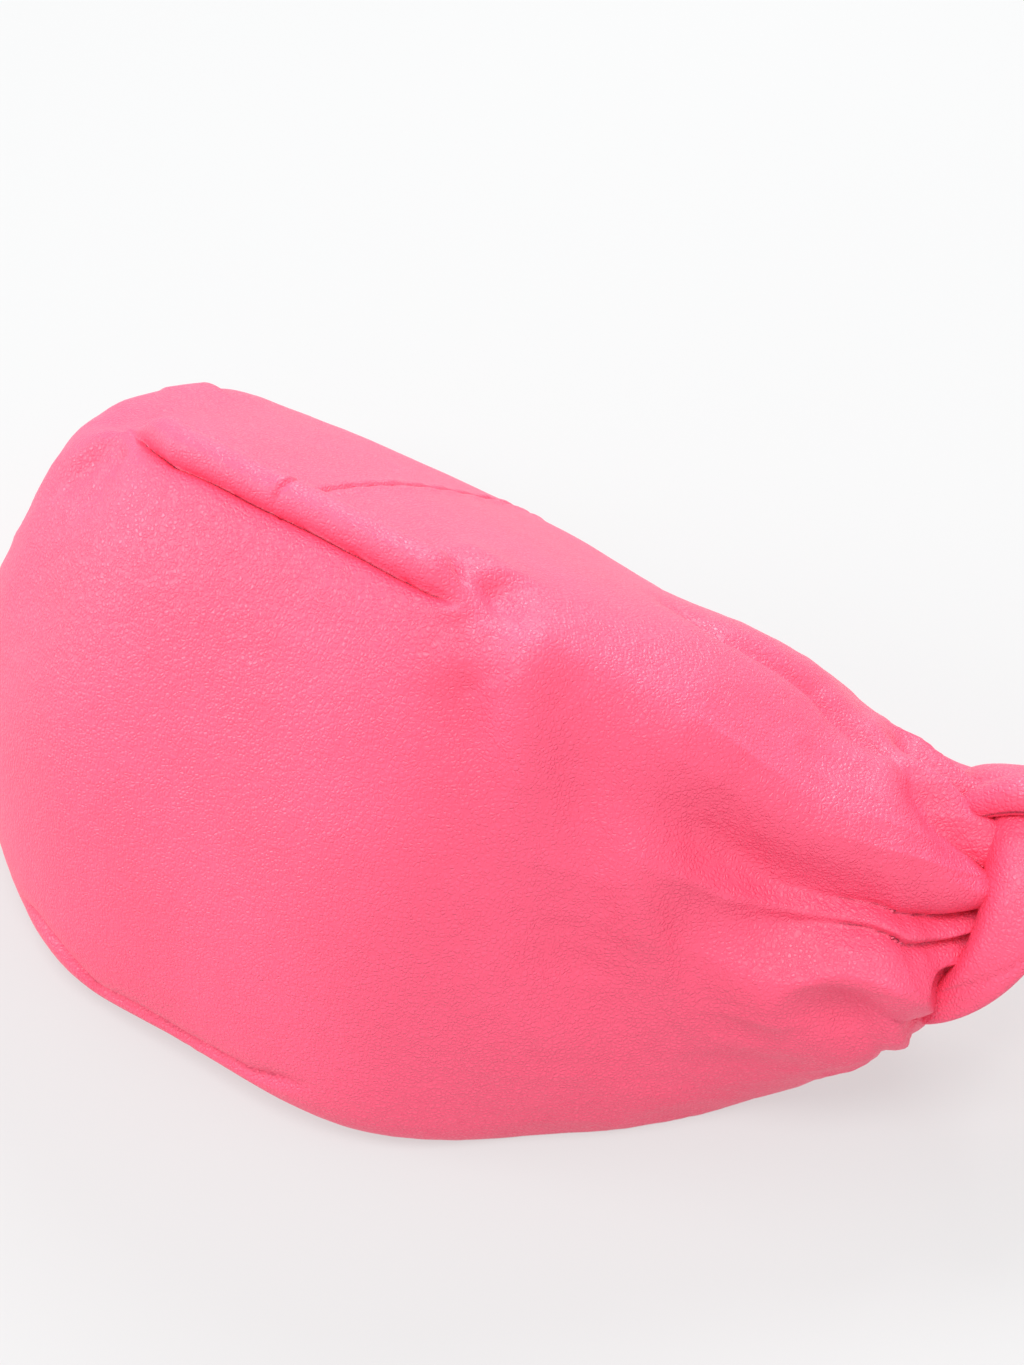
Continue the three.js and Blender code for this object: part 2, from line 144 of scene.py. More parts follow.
def centripetal(points, steps):
    """A centripetal Catmull-Rom curve through a list of points."""
    points = np.asarray(points, float)
    ends = np.vstack([2 * points[0] - points[1], points, 2 * points[-1] - points[-2]])
    x = (np.arange(steps) / steps)[:, None]
    pieces = []
    for p0, p1, p2, p3 in zip(ends, ends[1:], ends[2:], ends[3:]):
        d0, d1, d2 = (np.sqrt(np.linalg.norm(q - p)) for p, q in ((p0, p1), (p1, p2), (p2, p3)))
        t1 = d1 * ((p1 - p0) / d0 - (p2 - p0) / (d0 + d1) + (p2 - p1) / d1)
        t2 = d1 * ((p2 - p1) / d1 - (p3 - p1) / (d1 + d2) + (p3 - p2) / d2)
        square = 3 * (p2 - p1) - 2 * t1 - t2
        cube = 2 * (p1 - p2) + t1 + t2
        pieces.append(p1 + t1 * x + square * x**2 + cube * x**3)
    return np.vstack([*pieces, points[-1:]])


def lengths(line):
    """The distance along a line of points, from 0 at its start."""
    return np.concatenate([[0], np.cumsum(np.linalg.norm(np.diff(line, axis=0), axis=1))])


OUTLINE_STEPS = 60  # points between two entries of the section
OUTLINE = centripetal([(reach * DEPTH, rise * HEIGHT) for reach, rise in BOX_SECTION], OUTLINE_STEPS)
OUTLINE_SHARE = lengths(OUTLINE) / lengths(OUTLINE)[-1]


def skin(along, around):
    """Points of the outer face in millimetres. around runs from 0 at the front lip to 1 at the back lip."""
    along, around = np.broadcast_arrays(np.asarray(along, float), np.asarray(around, float))
    base_x, base_y, mouth_x, mouth_y, low, high, turned, lean = np.moveaxis(
        through(STATIONS, along + NECK), -1, 0
    )
    angle = 2 * np.pi * (MOUTH_PINCH + around * (1 - 2 * MOUTH_PINCH))
    turned = np.clip(turned, 0, 1)
    reach = np.interp(around, OUTLINE_SHARE, OUTLINE[:, 0] / DEPTH)
    rise = np.interp(around, OUTLINE_SHARE, OUTLINE[:, 1] / HEIGHT)
    reach = reach + (0.5 + 0.5 * np.cos(angle) - reach) * turned
    rise = rise + (0.5 + 0.5 * np.sin(angle) - rise) * turned
    leaned = lean * (rise - 0.5)
    x = base_x + reach * (mouth_x - base_x) + leaned * math.cos(RIGHT_HEADING)
    y = base_y + reach * (mouth_y - base_y) + leaned * math.sin(RIGHT_HEADING)
    return np.stack([x, y - REST_Y, np.maximum(low + rise * (high - low), 0)], -1)


def unit(vectors):
    """Vectors brought to length 1."""
    return vectors / np.maximum(np.linalg.norm(vectors, axis=-1, keepdims=True), 1e-9)


TANGENT_STEP = 0.01


def tangents(along, around):
    """Unit directions lengthways and crossways on the outer face, and its outward normal."""
    a = np.clip(along, TANGENT_STEP - NECK, NECK - TANGENT_STEP)
    t = np.clip(around, TANGENT_STEP, 1 - TANGENT_STEP)
    lengthways = skin(a + TANGENT_STEP, t) - skin(a - TANGENT_STEP, t)
    crossways = skin(a, t + TANGENT_STEP) - skin(a, t - TANGENT_STEP)
    return unit(lengthways), unit(crossways), unit(np.cross(crossways, lengthways))


BASE_LINE = 0.45  # around of the line along the base on which lengthways distances are measured
TABLE_ALONG = np.linspace(-NECK, NECK, 241)
GIRTHS = np.array([lengths(skin(a, np.linspace(0, 1, 161)))[-1] for a in TABLE_ALONG])
RUN = lengths(skin(TABLE_ALONG, BASE_LINE))
RUN -= np.interp(0, TABLE_ALONG, RUN)


def flat_place(along, around):
    """A place on the shell laid out flat, in millimetres: how far lengthways, and how far round."""
    return np.interp(along, TABLE_ALONG, RUN), around * np.interp(along, TABLE_ALONG, GIRTHS)


# ---------------------------------------------------------------- folds in the leather
def soft_step(x, start, end):
    """0 before start, 1 after end, and a smooth rise between."""
    k = np.clip((x - start) / (end - start), 0, 1)
    return k * k * (3 - 2 * k)


LATTICE = 128  # bumps before the noise repeats


def noise(u, v, seed):
    """Smooth seeded noise between -1 and 1, one bump to each unit of u and v."""
    lattice = np.random.default_rng(seed).uniform(-1, 1, (LATTICE, LATTICE))
    i, j = np.floor(u).astype(int), np.floor(v).astype(int)
    p, q = u - i, v - j
    p, q = p**3 * (p * (6 * p - 15) + 10), q**3 * (q * (6 * q - 15) + 10)

    def at(di, dj):
        return lattice[(i + di) % LATTICE, (j + dj) % LATTICE]

    near = at(0, 0) * (1 - p) + at(1, 0) * p
    far = at(0, 1) * (1 - p) + at(1, 1) * p
    return near * (1 - q) + far * q


# A gather is a valley between two rounded folds: its line as (along, around) points, its depth in mm,
# the radius of the folds beside it at its two ends, and the share of its length over which it deepens.
RIGHT_GATHERS = [
    # over the base and the front
    ([(2.05, .402), (2.4, .402), (2.81, .393), (3.47, .399), (4.2, .405), (4.94, .410), (6, .412)],
     10, 15, 4.5, .3),
    ([(2.2, .469), (2.65, .436), (3.51, .421), (4.3, .437), (5.04, .448), (6, .455)], 9, 12, 4.5, .3),
    ([(3.1, .49), (3.64, .497), (4.4, .525), (5.1, .558), (6, .57)], 6.5, 10, 5, .3),
    ([(4.3, .478), (5.0, .50), (6, .512)], 5.0, 6, 4, .5),
    ([(3.6, .262), (4.0, .276), (4.84, .307), (5.49, .345), (6, .355)], 7, 10, 4.5, .4),
    # on the underside, the back and the lips
    ([(3.9, .585), (4.5, .61), (5.3, .622), (6, .64)], 2.5, 8, 6, .5),
    ([(3.9, .66), (5, .70), (6, .71)], 2.5, 8, 6, .5),
    ([(3.5, .745), (5, .77), (6, .78)], 6.0, 10, 5, .4),
    ([(3.1, .835), (4.6, .85), (6, .86)], 6.0, 10, 5, .4),
    ([(3.0, .915), (4.5, .93), (6, .94)], 5.0, 9, 4.5, .4),
    ([(2.9, .05), (4.5, .062), (6, .07)], 5.0, 9, 4.5, .4),
    ([(3.0, .125), (4.4, .137), (6, .15)], 6.0, 10, 5, .4),
    ([(3.2, .195), (4.5, .205), (6, .24)], 6.0, 10, 5, .4),
]
# A fold is: its line as (along, around) points, height in mm (valleys are negative), half width in mm
# at its two ends, sharpness from 0 to 1, and the shares of its length over which each end fades.
FOLDS = [
    # swells beside the right knot's gathers
    ([(1.88, .36), (2.4, .346), (3.2, .35), (4.4, .36)], 3.0, 12, 6, 0, .4, .3),
    ([(2.15, .46), (2.58, .425), (3.2, .412)], 3.6, 8, 4, 0, .3, .4),
    ([(4.3, .60), (4.9, .605), (5.7, .61)], 5, 8, 8, 0, .3, .3),
    ([(2.6, .475), (2.81, .461), (3.38, .464), (4.06, .47), (5, .49)], 3.4, 8, 4, 0, .3, .3),
    ([(1.5, .405), (1.85, .402), (2.4, .40)], -3.0, 9, 6, .1, .5, .5),
    ([(1.6, .50), (2.0, .482), (2.4, .455)], -3.0, 9, 6, .1, .5, .5),
    # the left shoulder: its high corner at the back, and the slack in front of it
    ([(-1.5, .235), (-1.64, .29)], 6.2, 11.5, 11.5, 0, 0, 0),
    ([(-1.98, .27), (-2.08, .32), (-2.3, .36)], -8.0, 13, 17, 0, 0, 0),
    ([(-1.05, .322), (-1.26, .335), (-1.49, .353), (-1.5, .39), (-1.6, .45)], 1.8, 5, 9, .2, .15, .6),
    ([(-1.0, .335), (-1.2, .347), (-1.32, .37)], -1.2, 3, 5, .4, .1, .6),
    # wrinkles that spread from the left end of the upper tuck
    ([(-1.1, .322), (-1.3, .318), (-1.5, .312)], -1.6, 1.8, 4, .5, .15, .6),
    ([(-1.08, .327), (-1.23, .345), (-1.38, .375)], -1.7, 1.8, 4, .5, .15, .6),
    ([(-1.02, .333), (-1.1, .352), (-1.15, .385)], -1.3, 1.8, 4, .5, .15, .6),
    ([(-1.08, .315), (-1.18, .30), (-1.28, .28)], -1.1, 1.6, 3, .5, .15, .6),
    # the pucker at the right end of the upper tuck
    ([(.62, .289), (.78, .285), (.96, .291), (1.08, .303)], 1.6, 4, 5, .1, .3, .3),
    ([(.93, .296), (1.05, .306), (1.16, .317), (1.32, .33)], -3.4, 3.2, 4.5, .4, .25, .6),
    ([(1.0, .333), (1.12, .347), (1.2, .362)], -1.1, 2, 3, .5, .2, .6),
    ([(1.0, .330), (1.2, .329), (1.4, .322)], -1.0, 2, 3, .5, .2, .6),
    ([(.98, .336), (.99, .35), (1.05, .368)], -.8, 2, 3, .5, .2, .6),
    ([(1.22, .333), (1.4, .345), (1.52, .375), (1.6, .42)], 2.8, 6, 9, 0, .3, .5),
    ([(1.15, .35), (1.28, .375), (1.36, .42)], -3.0, 5, 9, .1, .3, .6),
    # the line where the front panel's edge turns away towards the mouth
    ([(1.18, .193), (1.9, .218), (2.6, .208), (3.44, .229), (4.2, .257)], -3.6, 2.6, 2.6, .8, .25, .2),
    # slack creases over the base and the front
    ([(-.35, .36), (.1, .372), (.5, .374), (.9, .365)], -.35, 4, 4, .5, .4, .4),
    ([(-.2, .39), (.3, .40), (.7, .395)], -.3, 4, 4, .5, .4, .4),
    ([(.2, .43), (.7, .436), (1.3, .42), (1.7, .405)], -.6, 6, 6, .3, .4, .4),
    ([(1.7, .52), (2.4, .505), (3.2, .49)], -1.3, 8, 5, .2, .5, .3),
    ([(1.6, .58), (2.6, .57), (3.6, .555)], -1.4, 8, 6, .2, .5, .3),
    ([(.4, .13), (1.2, .11), (2.2, .12), (3.2, .125)], -1.5, 12, 8, .1, .4, .2),
    ([(-.4, .13), (-1.3, .12), (-2.4, .13), (-3.2, .14)], -1.5, 12, 8, .1, .4, .2),
]
LOWER_TUCK = [(-1.35, .625), (-.59, .643), (.04, .642), (.44, .637), (.85, .620)]
LOWER_TUCK_HALF = 1.7
LOWER_TUCK_DEPTH = 2.3
LOWER_TUCK_SWELL = 1.2  # height of the fullness on its lower side
LEFT_GATHERS = 13
UPPER_ROLL = [(-1.13, .322), (-.67, .331), (-.2, .332), (.01, .332), (.35, .331), (.64, .330), (1.02, .330)]
ROLL_HALF = 4.0  # half the width of the upper tuck's roll
ROLL_HEIGHT = 5.0
ROLL_LEAN = 3.0  # how far its crest leans over the crease under it
ROLL_CREASE = 3.0
ROLL_VALLEY = 3.0  # depth of the valley behind it
ROLL_UNDERCUT = 1.2  # how far the base draws in below it
SEAM_DEPTH = 1.3
SEAM_HALF = 0.5
SEAM_BESIDE = 1.9  # from a centre seam to the middle of the puckers beside it
SLACK_HEIGHT = 0.9
SLACK_SIZE = (46, 40)  # of one bump, lengthways and round
WRINKLE_HEIGHT = 0.45
WRINKLE_LENGTH = 21
WRINKLES_ROUND = 42  # how many there are round the bag
CREPE_HEIGHT = 0.07
CREPE_SIZE = (6.5, 4.6)
LIP_BAND = (9.5, 11)  # from a lip to where its doubled band starts and ends its step down
LIP_STITCH = 4.0  # from a lip to its row of stitches


def stroke(u, v, line, half_start, half_end):
    """How far each place is from a line, in its own half widths, and how far along the line it lies."""
    points = np.stack(flat_place(*np.array(line, float).T), -1)
    whole = lengths(points)
    best = np.full(u.shape, np.inf)
    share = np.zeros(u.shape)
    side = np.zeros(u.shape)
    for p, q, start, end in zip(points, points[1:], whole, whole[1:]):
        d = q - p
        k = np.clip(((u - p[0]) * d[0] + (v - p[1]) * d[1]) / (d @ d), 0, 1)
        du, dv = u - p[0] - k * d[0], v - p[1] - k * d[1]
        far = np.hypot(du, dv)
        closer = far < best
        best = np.where(closer, far, best)
        share = np.where(closer, (start + k * (end - start)) / whole[-1], share)
        side = np.where(closer, np.sign(d[0] * dv - d[1] * du), side)
    return best / (half_start + share * (half_end - half_start)), share, side


def fold(u, v, line, height, half_start, half_end, sharp, fade_in, fade_out):
    """The height that one fold adds."""
    away, share, _ = stroke(u, v, line, half_start, half_end)
    round_shape = np.exp(-0.5 * away**2)
    crease_shape = np.exp(0.25 - np.sqrt(away**2 + 0.0625))
    faded = soft_step(share, 1 - fade_out - 0.001, 1.02) * (fade_out > 0)
    grown = soft_step(share, -0.02, max(fade_in, 0.01)) * (1 - faded)
    return height * grown * (round_shape + sharp * (crease_shape - round_shape))


def gather(u, v, line, depth, round_start, round_end, deepens):
    """The drop from a round fold's crest into the valley beside it."""
    away, share, _ = stroke(u, v, line, round_start, round_end)
    crisp = 1 - np.sqrt(1 - (1 - np.minimum(away, 1)) ** 2)
    soft = np.exp(-1.6 * away**2)
    tight = soft_step(share, 0.25, 0.95)
    return -depth * soft_step(share, -0.02, deepens) * (soft + (crisp - soft) * tight)


def left_gathers():
    """The folds that run into the left knot: like the right knot's, at seeded places."""
    pick = np.random.default_rng(SEED)
    made = []
    for k in range(LEFT_GATHERS):
        around = (k + 0.5 + pick.uniform(-0.22, 0.22)) / LEFT_GATHERS
        start = -pick.uniform(2.5, 3.5)
        swing = pick.uniform(-0.02, 0.02)
        line = [(start, around + swing), (-4.4, around + 0.3 * swing), (-6, around)]
        made.append((line, pick.uniform(4.6, 6.2), pick.uniform(9, 12), 4.2, 0.4))
    return made


def upper_roll(u, v):
    """The rolled seam over the top of the base: its height, and how far it leans over its crease."""
    away, share, side = stroke(u, v, UPPER_ROLL, 1, 1)
    above = -side * away  # millimetres towards the front panel
    ends = soft_step(share, 0.0, 0.15) * (1 - soft_step(share, 0.9, 1.0))
    half = ROLL_HALF * (0.5 + 0.5 * ends)
    across = (above - half) / half
    crest = np.sqrt(np.clip(1 - across**2, 0, 1))
    behind = np.exp(-(((above - 2 * half - 0.4) / 1.6) ** 2))
    crease = np.exp(-np.abs(above) / 1.2)
    under = np.where(above < 0, np.exp(above / 8), 0)
    height = ends * (
        ROLL_HEIGHT * crest - ROLL_VALLEY * behind - ROLL_CREASE * crease - ROLL_UNDERCUT * under
    )
    lean = ends * ROLL_LEAN * crest * (1 - soft_step(above, ROLL_HALF / 2, 2 * ROLL_HALF))
    return height, lean


def centre_seams(u, v, around, pitch):
    """The stitched seams down the middle of the front and back panels, with their puckers."""
    where = soft_step(around, 0.004, 0.02) * (1 - soft_step(around, 0.331, 0.336))
    where = where + soft_step(around, 0.648, 0.66) * (1 - soft_step(around, 0.985, 0.998))
    groove = -SEAM_DEPTH * np.exp(-((u / SEAM_HALF) ** 2))
    beside = np.exp(-(((np.abs(u) - SEAM_BESIDE) / 1.4) ** 2))
    puckers = beside * (0.3 + 0.16 * np.cos(2 * np.pi * v / pitch))
    return where * (groove + puckers)


def lips(along, around, girth):
    """The turned edges along the mouth: a doubled band with its row of stitches sunk in."""
    total = 0
    open_mouth = 1 - soft_step(np.abs(along), 3.6, 4.6)
    for from_lip in (around * girth, (1 - around) * girth):
        band = 0.7 * (1 - soft_step(from_lip, *LIP_BAND))
        sunk = -0.45 * np.exp(-(((from_lip - LIP_STITCH) / 0.9) ** 2))
        rounded = -0.8 * np.exp(-((from_lip / 0.8) ** 2))
        total = total + open_mouth * (band + sunk + rounded)
    return total


def relief(along, around, sizes):
    """How far the leather stands proud of its plain outer face, and how far it leans, in mm."""
    u, v = flat_place(along, around)
    girth = np.interp(along, TABLE_ALONG, GIRTHS)
    gathers = np.min([gather(u, v, *one) for one in RIGHT_GATHERS + left_gathers()], axis=0)
    folds = sum(fold(u, v, *one) for one in FOLDS)
    neck = soft_step(np.abs(along), 2.6, 4.4)
    between = 2.4 * neck * (1 - soft_step(np.abs(along), 5.4, 6.0) * 0.8)
    height = sizes.fold_depth * gathers + folds + between
    crease, share, side = stroke(u, v, LOWER_TUCK, LOWER_TUCK_HALF, LOWER_TUCK_HALF)
    fade = soft_step(share, 0, 0.15) * (1 - soft_step(share, 0.85, 1))
    swell = np.where(side > 0, crease * np.exp(1 - crease) / 1.5, 0)
    height = height - LOWER_TUCK_DEPTH * fade * np.exp(-crease) + LOWER_TUCK_SWELL * fade * swell
    roll, lean = upper_roll(u, v)
    height = height + roll + centre_seams(u, v, around, sizes.stitch_pitch / MM)
    height = height + lips(along, around, girth)
    # broad slackness, then wrinkles that run lengthways towards each knot
    slack = noise(u / SLACK_SIZE[0], v / SLACK_SIZE[1], SEED + 1)
    height = height + SLACK_HEIGHT * slack * (1 - soft_step(np.abs(along), 3.5, 5))
    stretch = 0.15 + 0.85 * soft_step(np.abs(along), 1.0, 3.4)
    ridged = 1 - 2 * np.abs(noise(u / WRINKLE_LENGTH, around * WRINKLES_ROUND, SEED + 2))
    height = height + WRINKLE_HEIGHT * stretch * ridged * (1 - soft_step(np.abs(along), 4.8, 5.8))
    drift = 0.4 * noise(u / 9, v / 9, SEED + 3)
    fine = 1 - 2 * np.abs(noise(u / CREPE_SIZE[0] + drift, v / CREPE_SIZE[1], SEED + 4))
    near_tuck = np.exp(-(((around - 0.35) / 0.05) ** 2)) * np.exp(-((along / 1.8) ** 2))
    height = height + CREPE_HEIGHT * (0.5 + near_tuck + stretch) * fine
    return height, lean


# ---------------------------------------------------------------- the leather's grid
FINE_ALONG, FINE_AROUND = 336, 264  # faces of the outer face lengthways and round
INNER_STEP = 4  # outer faces to each inner one
TABLE_GAP = 0.05  # between the table and the leather that rests on it
# Where rows lie closer: place around, width, and how much closer.
CLOSE_PLACES = [
    (0.331, 0.022, 3.0), (0.44, 0.10, 0.6), (0.0, 0.03, 1.0), (1.0, 0.03, 1.0), (0.641, 0.02, 1.2),
]


def spread(density, count, low, high):
    """Places between two ends, closer where density is higher."""
    x = np.linspace(low, high, 2001)
    gathered = np.concatenate([[0], np.cumsum(0.5 * (density(x)[1:] + density(x)[:-1]))])
    return np.interp(np.linspace(0, gathered[-1], count + 1), gathered, x)


def along_density(x):
    """Closer columns at the centre seams and in the necks."""
    pace = np.interp(x, TABLE_ALONG, np.abs(np.gradient(RUN, TABLE_ALONG)))
    return pace * (1 + 1.5 * np.exp(-((x / 0.12) ** 2)) + 0.35 * soft_step(np.abs(x), 2.5, 4))


def around_density(x):
    """Closer rows at the tucks, over the gathers and at the lips."""
    return 1 + sum(extra * np.exp(-(((x - place) / wide) ** 2)) for place, wide, extra in CLOSE_PLACES)


class Shell:
    """The leather's outer face on its fine grid, and the clear depth under its folds."""

    def __init__(self, sizes):
        self.along = spread(along_density, FINE_ALONG, -NECK, NECK)
        self.around = spread(around_density, FINE_AROUND, 0, 1)
        a, t = np.meshgrid(self.along, self.around, indexing="ij")
        _, crossways, normal = tangents(a, t)
        height, lean = relief(a, t, sizes)
        self.outer = skin(a, t) + normal * height[..., None] + crossways * lean[..., None]
        self.outer[..., 2] = np.maximum(self.outer[..., 2], TABLE_GAP)
        low = height
        for axis in (0, 1):
            edge = [(INNER_STEP, INNER_STEP) if i == axis else (0, 0) for i in range(2)]
            wide = np.pad(low, edge, mode="edge")
            size = low.shape[axis]
            low = np.min([wide.take(range(k, k + size), axis) for k in range(2 * INNER_STEP + 1)], axis=0)
        self.clear = low

    def between(self, values, along, around):
        """Values of the fine grid at any places."""
        i = np.interp(along, self.along, np.arange(len(self.along)))
        j = np.interp(around, self.around, np.arange(len(self.around)))
        i0 = np.minimum(i.astype(int), len(self.along) - 2)
        j0 = np.minimum(j.astype(int), len(self.around) - 2)
        p, q = i - i0, j - j0
        if values.ndim == 3:
            p, q = p[..., None], q[..., None]
        near = values[i0, j0] * (1 - p) + values[i0 + 1, j0] * p
        far = values[i0, j0 + 1] * (1 - p) + values[i0 + 1, j0 + 1] * p
        return near * (1 - q) + far * q

    def on_face(self, along, around):
        """Points of the outer face, folds and all."""
        return self.between(self.outer, along, around)

    def inside(self, along, around, depth):
        """Points at a depth under the deepest fold nearby, in millimetres."""
        along, around = np.broadcast_arrays(np.asarray(along, float), np.asarray(around, float))
        low = self.between(self.clear, along, around)
        _, _, normal = tangents(along, around)
        made = skin(along, around) + normal * (np.minimum(low, 0.6) - depth)[..., None]
        made[..., 2] = np.maximum(made[..., 2], TABLE_GAP + depth)
        return made


# ---------------------------------------------------------------- meshes
def new_mesh(name, points, faces):
    """An object at the origin from points in millimetres, with its faces turned outwards."""
    mesh = bpy.data.meshes.new(name)
    mesh.from_pydata((np.asarray(points, float).reshape(-1, 3) * MM).tolist(), [], faces)
    mesh.validate()
    shape = bmesh.new()
    shape.from_mesh(mesh)
    bmesh.ops.recalc_face_normals(shape, faces=shape.faces)
    shape.to_mesh(mesh)
    shape.free()
    mesh.polygons.foreach_set("use_smooth", [True] * len(mesh.polygons))
    obj = bpy.data.objects.new(name, mesh)
    bpy.context.scene.collection.objects.link(obj)
    return obj


def grid_quads(number):
    """The four corners of each face of a grid of numbered points."""
    corners = [number[:-1, :-1], number[1:, :-1], number[1:, 1:], number[:-1, 1:]]
    return np.stack(corners, -1).reshape(-1, 4)


def closed_sheet(name, outer, inner, step=1):
    """A closed shell between a fine outer grid of points and an inner one that is step times coarser."""
    rows, columns = outer.shape[:2]
    number = np.arange(rows * columns).reshape(rows, columns)
    under = np.arange(inner.shape[0] * inner.shape[1]).reshape(inner.shape[:2]) + rows * columns
    faces = grid_quads(number).tolist() + grid_quads(under)[:, ::-1].tolist()
    rims = [(number[end], under[end]) for end in (0, -1)]
    rims += [(number[:, end], under[:, end]) for end in (0, -1)]
    for fine, coarse in rims:
        for k in range(len(coarse) - 1):
            faces.append([*fine[k * step : (k + 1) * step + 1].tolist(), int(coarse[k + 1]), int(coarse[k])])
    return new_mesh(name, np.vstack([outer.reshape(-1, 3), inner.reshape(-1, 3)]), faces)


def tube_mesh(name, line, radius, sides):
    """A closed tube along a line of points. radius(share, angle) is its radius in millimetres."""
    line = np.asarray(line, float)
    share = lengths(line) / lengths(line)[-1]
    forward = unit(np.gradient(line, axis=0))
    side = np.zeros_like(line)
    side[0] = unit(np.cross(forward[0], (0.0, 0.0, 1.0)))
    for i in range(1, len(line)):
        turned = side[i - 1] - forward[i] * (side[i - 1] @ forward[i])
        side[i] = unit(turned)
    other = np.cross(forward, side)
    angle = np.linspace(0, 2 * np.pi, sides, endpoint=False)
    reach = radius(share[:, None], angle[None, :])
    ring = reach[..., None] * (
        np.cos(angle)[None, :, None] * side[:, None] + np.sin(angle)[None, :, None] * other[:, None]
    )
    points = line[:, None] + ring
    count = len(line)
    number = np.arange(count * sides).reshape(count, sides)
    faces = []
    for k in range(sides):
        n = (k + 1) % sides
        faces += np.stack([number[:-1, k], number[1:, k], number[1:, n], number[:-1, n]], -1).tolist()
    ends = [line[0] - forward[0] * 0.2, line[-1] + forward[-1] * 0.2]
    for k in range(sides):
        n = (k + 1) % sides
        faces.append([int(number[0, k]), int(number[0, n]), count * sides])
        faces.append([int(number[-1, n]), int(number[-1, k]), count * sides + 1])
    obj = new_mesh(name, np.vstack([points.reshape(-1, 3), ends]), faces)
    lay_uv(obj, lengths(line), sides, count, float(np.mean(reach)))
    return obj


def lay_uv(obj, distance, sides, count, radius):
    """A UV map in metres on a tube: along its line, and round it."""
    around = np.tile(np.arange(sides) / sides * 2 * math.pi * radius, count) * MM
    along = np.repeat(distance, sides) * MM
    place = np.vstack([np.stack([along, around], -1), [[along[0], 0], [along[-1], 0]]])
    layer = obj.data.uv_layers.new(name="along")
    loops = np.empty(len(obj.data.loops), int)
    obj.data.loops.foreach_get("vertex_index", loops)
    layer.data.foreach_set("uv", place[loops].astype(np.float32).ravel())


SMOOTH_ANGLE = math.radians(40)


def settle(obj):
    """Puts an object's place into its mesh, and shades it smooth but for its edges."""
    bpy.ops.object.select_all(action="DESELECT")
    obj.select_set(True)
    bpy.context.view_layer.objects.active = obj
    bpy.ops.object.transform_apply(location=True, rotation=True, scale=True)
    bpy.ops.object.shade_smooth_by_angle(angle=SMOOTH_ANGLE)
    return obj


def finished(obj, body, slot, look, *nodes):
    """Gives a piece its body and material, and hides the CAD nodes that it stands for; slot is not used."""
    obj.data.materials.clear()
    obj.data.materials.append(look)
    if nodes:
        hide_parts(*nodes)
    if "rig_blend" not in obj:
        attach(obj, body)
    return obj


# ---------------------------------------------------------------- shader groups
def new_group(name, inputs, outputs):
    """A shader node group with named sockets. Each socket is (name, kind, default)."""
    tree = bpy.data.node_groups.new(name, "ShaderNodeTree")
    for label, kind, value in inputs:
        made = tree.interface.new_socket(name=label, in_out="INPUT", socket_type="NodeSocket" + kind)
        if value is not None:
            made.default_value = value
    for label, kind in outputs:
        tree.interface.new_socket(name=label, in_out="OUTPUT", socket_type="NodeSocket" + kind)
    return tree, tree.nodes.new("NodeGroupInput"), tree.nodes.new("NodeGroupOutput")


def node(tree, kind, wired=None, **settings):
    """A shader node. Settings are its own; wired gives each input a socket to link or a value."""
    made = tree.nodes.new("ShaderNode" + kind)
    for key, value in settings.items():
        setattr(made, key, value)
    for key, value in (wired or {}).items():
        if isinstance(value, bpy.types.NodeSocket):
            tree.links.new(value, made.inputs[key])
        else:
            made.inputs[key].default_value = value
    return made


def maths(tree, operation, *values):
    """The result of a Math node. Each value is a socket or a number."""
    return node(tree, "Math", dict(enumerate(values)), operation=operation).outputs[0]


def blended(tree, share, first, second):
    """A colour between two others. Each is a socket or a value."""
    made = node(tree, "Mix", data_type="RGBA")
    for index, value in ((0, share), (6, first), (7, second)):
        if isinstance(value, bpy.types.NodeSocket):
            tree.links.new(value, made.inputs[index])
        else:
            made.inputs[index].default_value = value
    return made.outputs[2]


def eased(tree, value, low, high):
    """0 below low, 1 above high, and a smooth rise between."""
    wired = {"Value": value, "From Min": low, "From Max": high}
    return node(tree, "MapRange", wired, interpolation_type="SMOOTHSTEP").outputs[0]


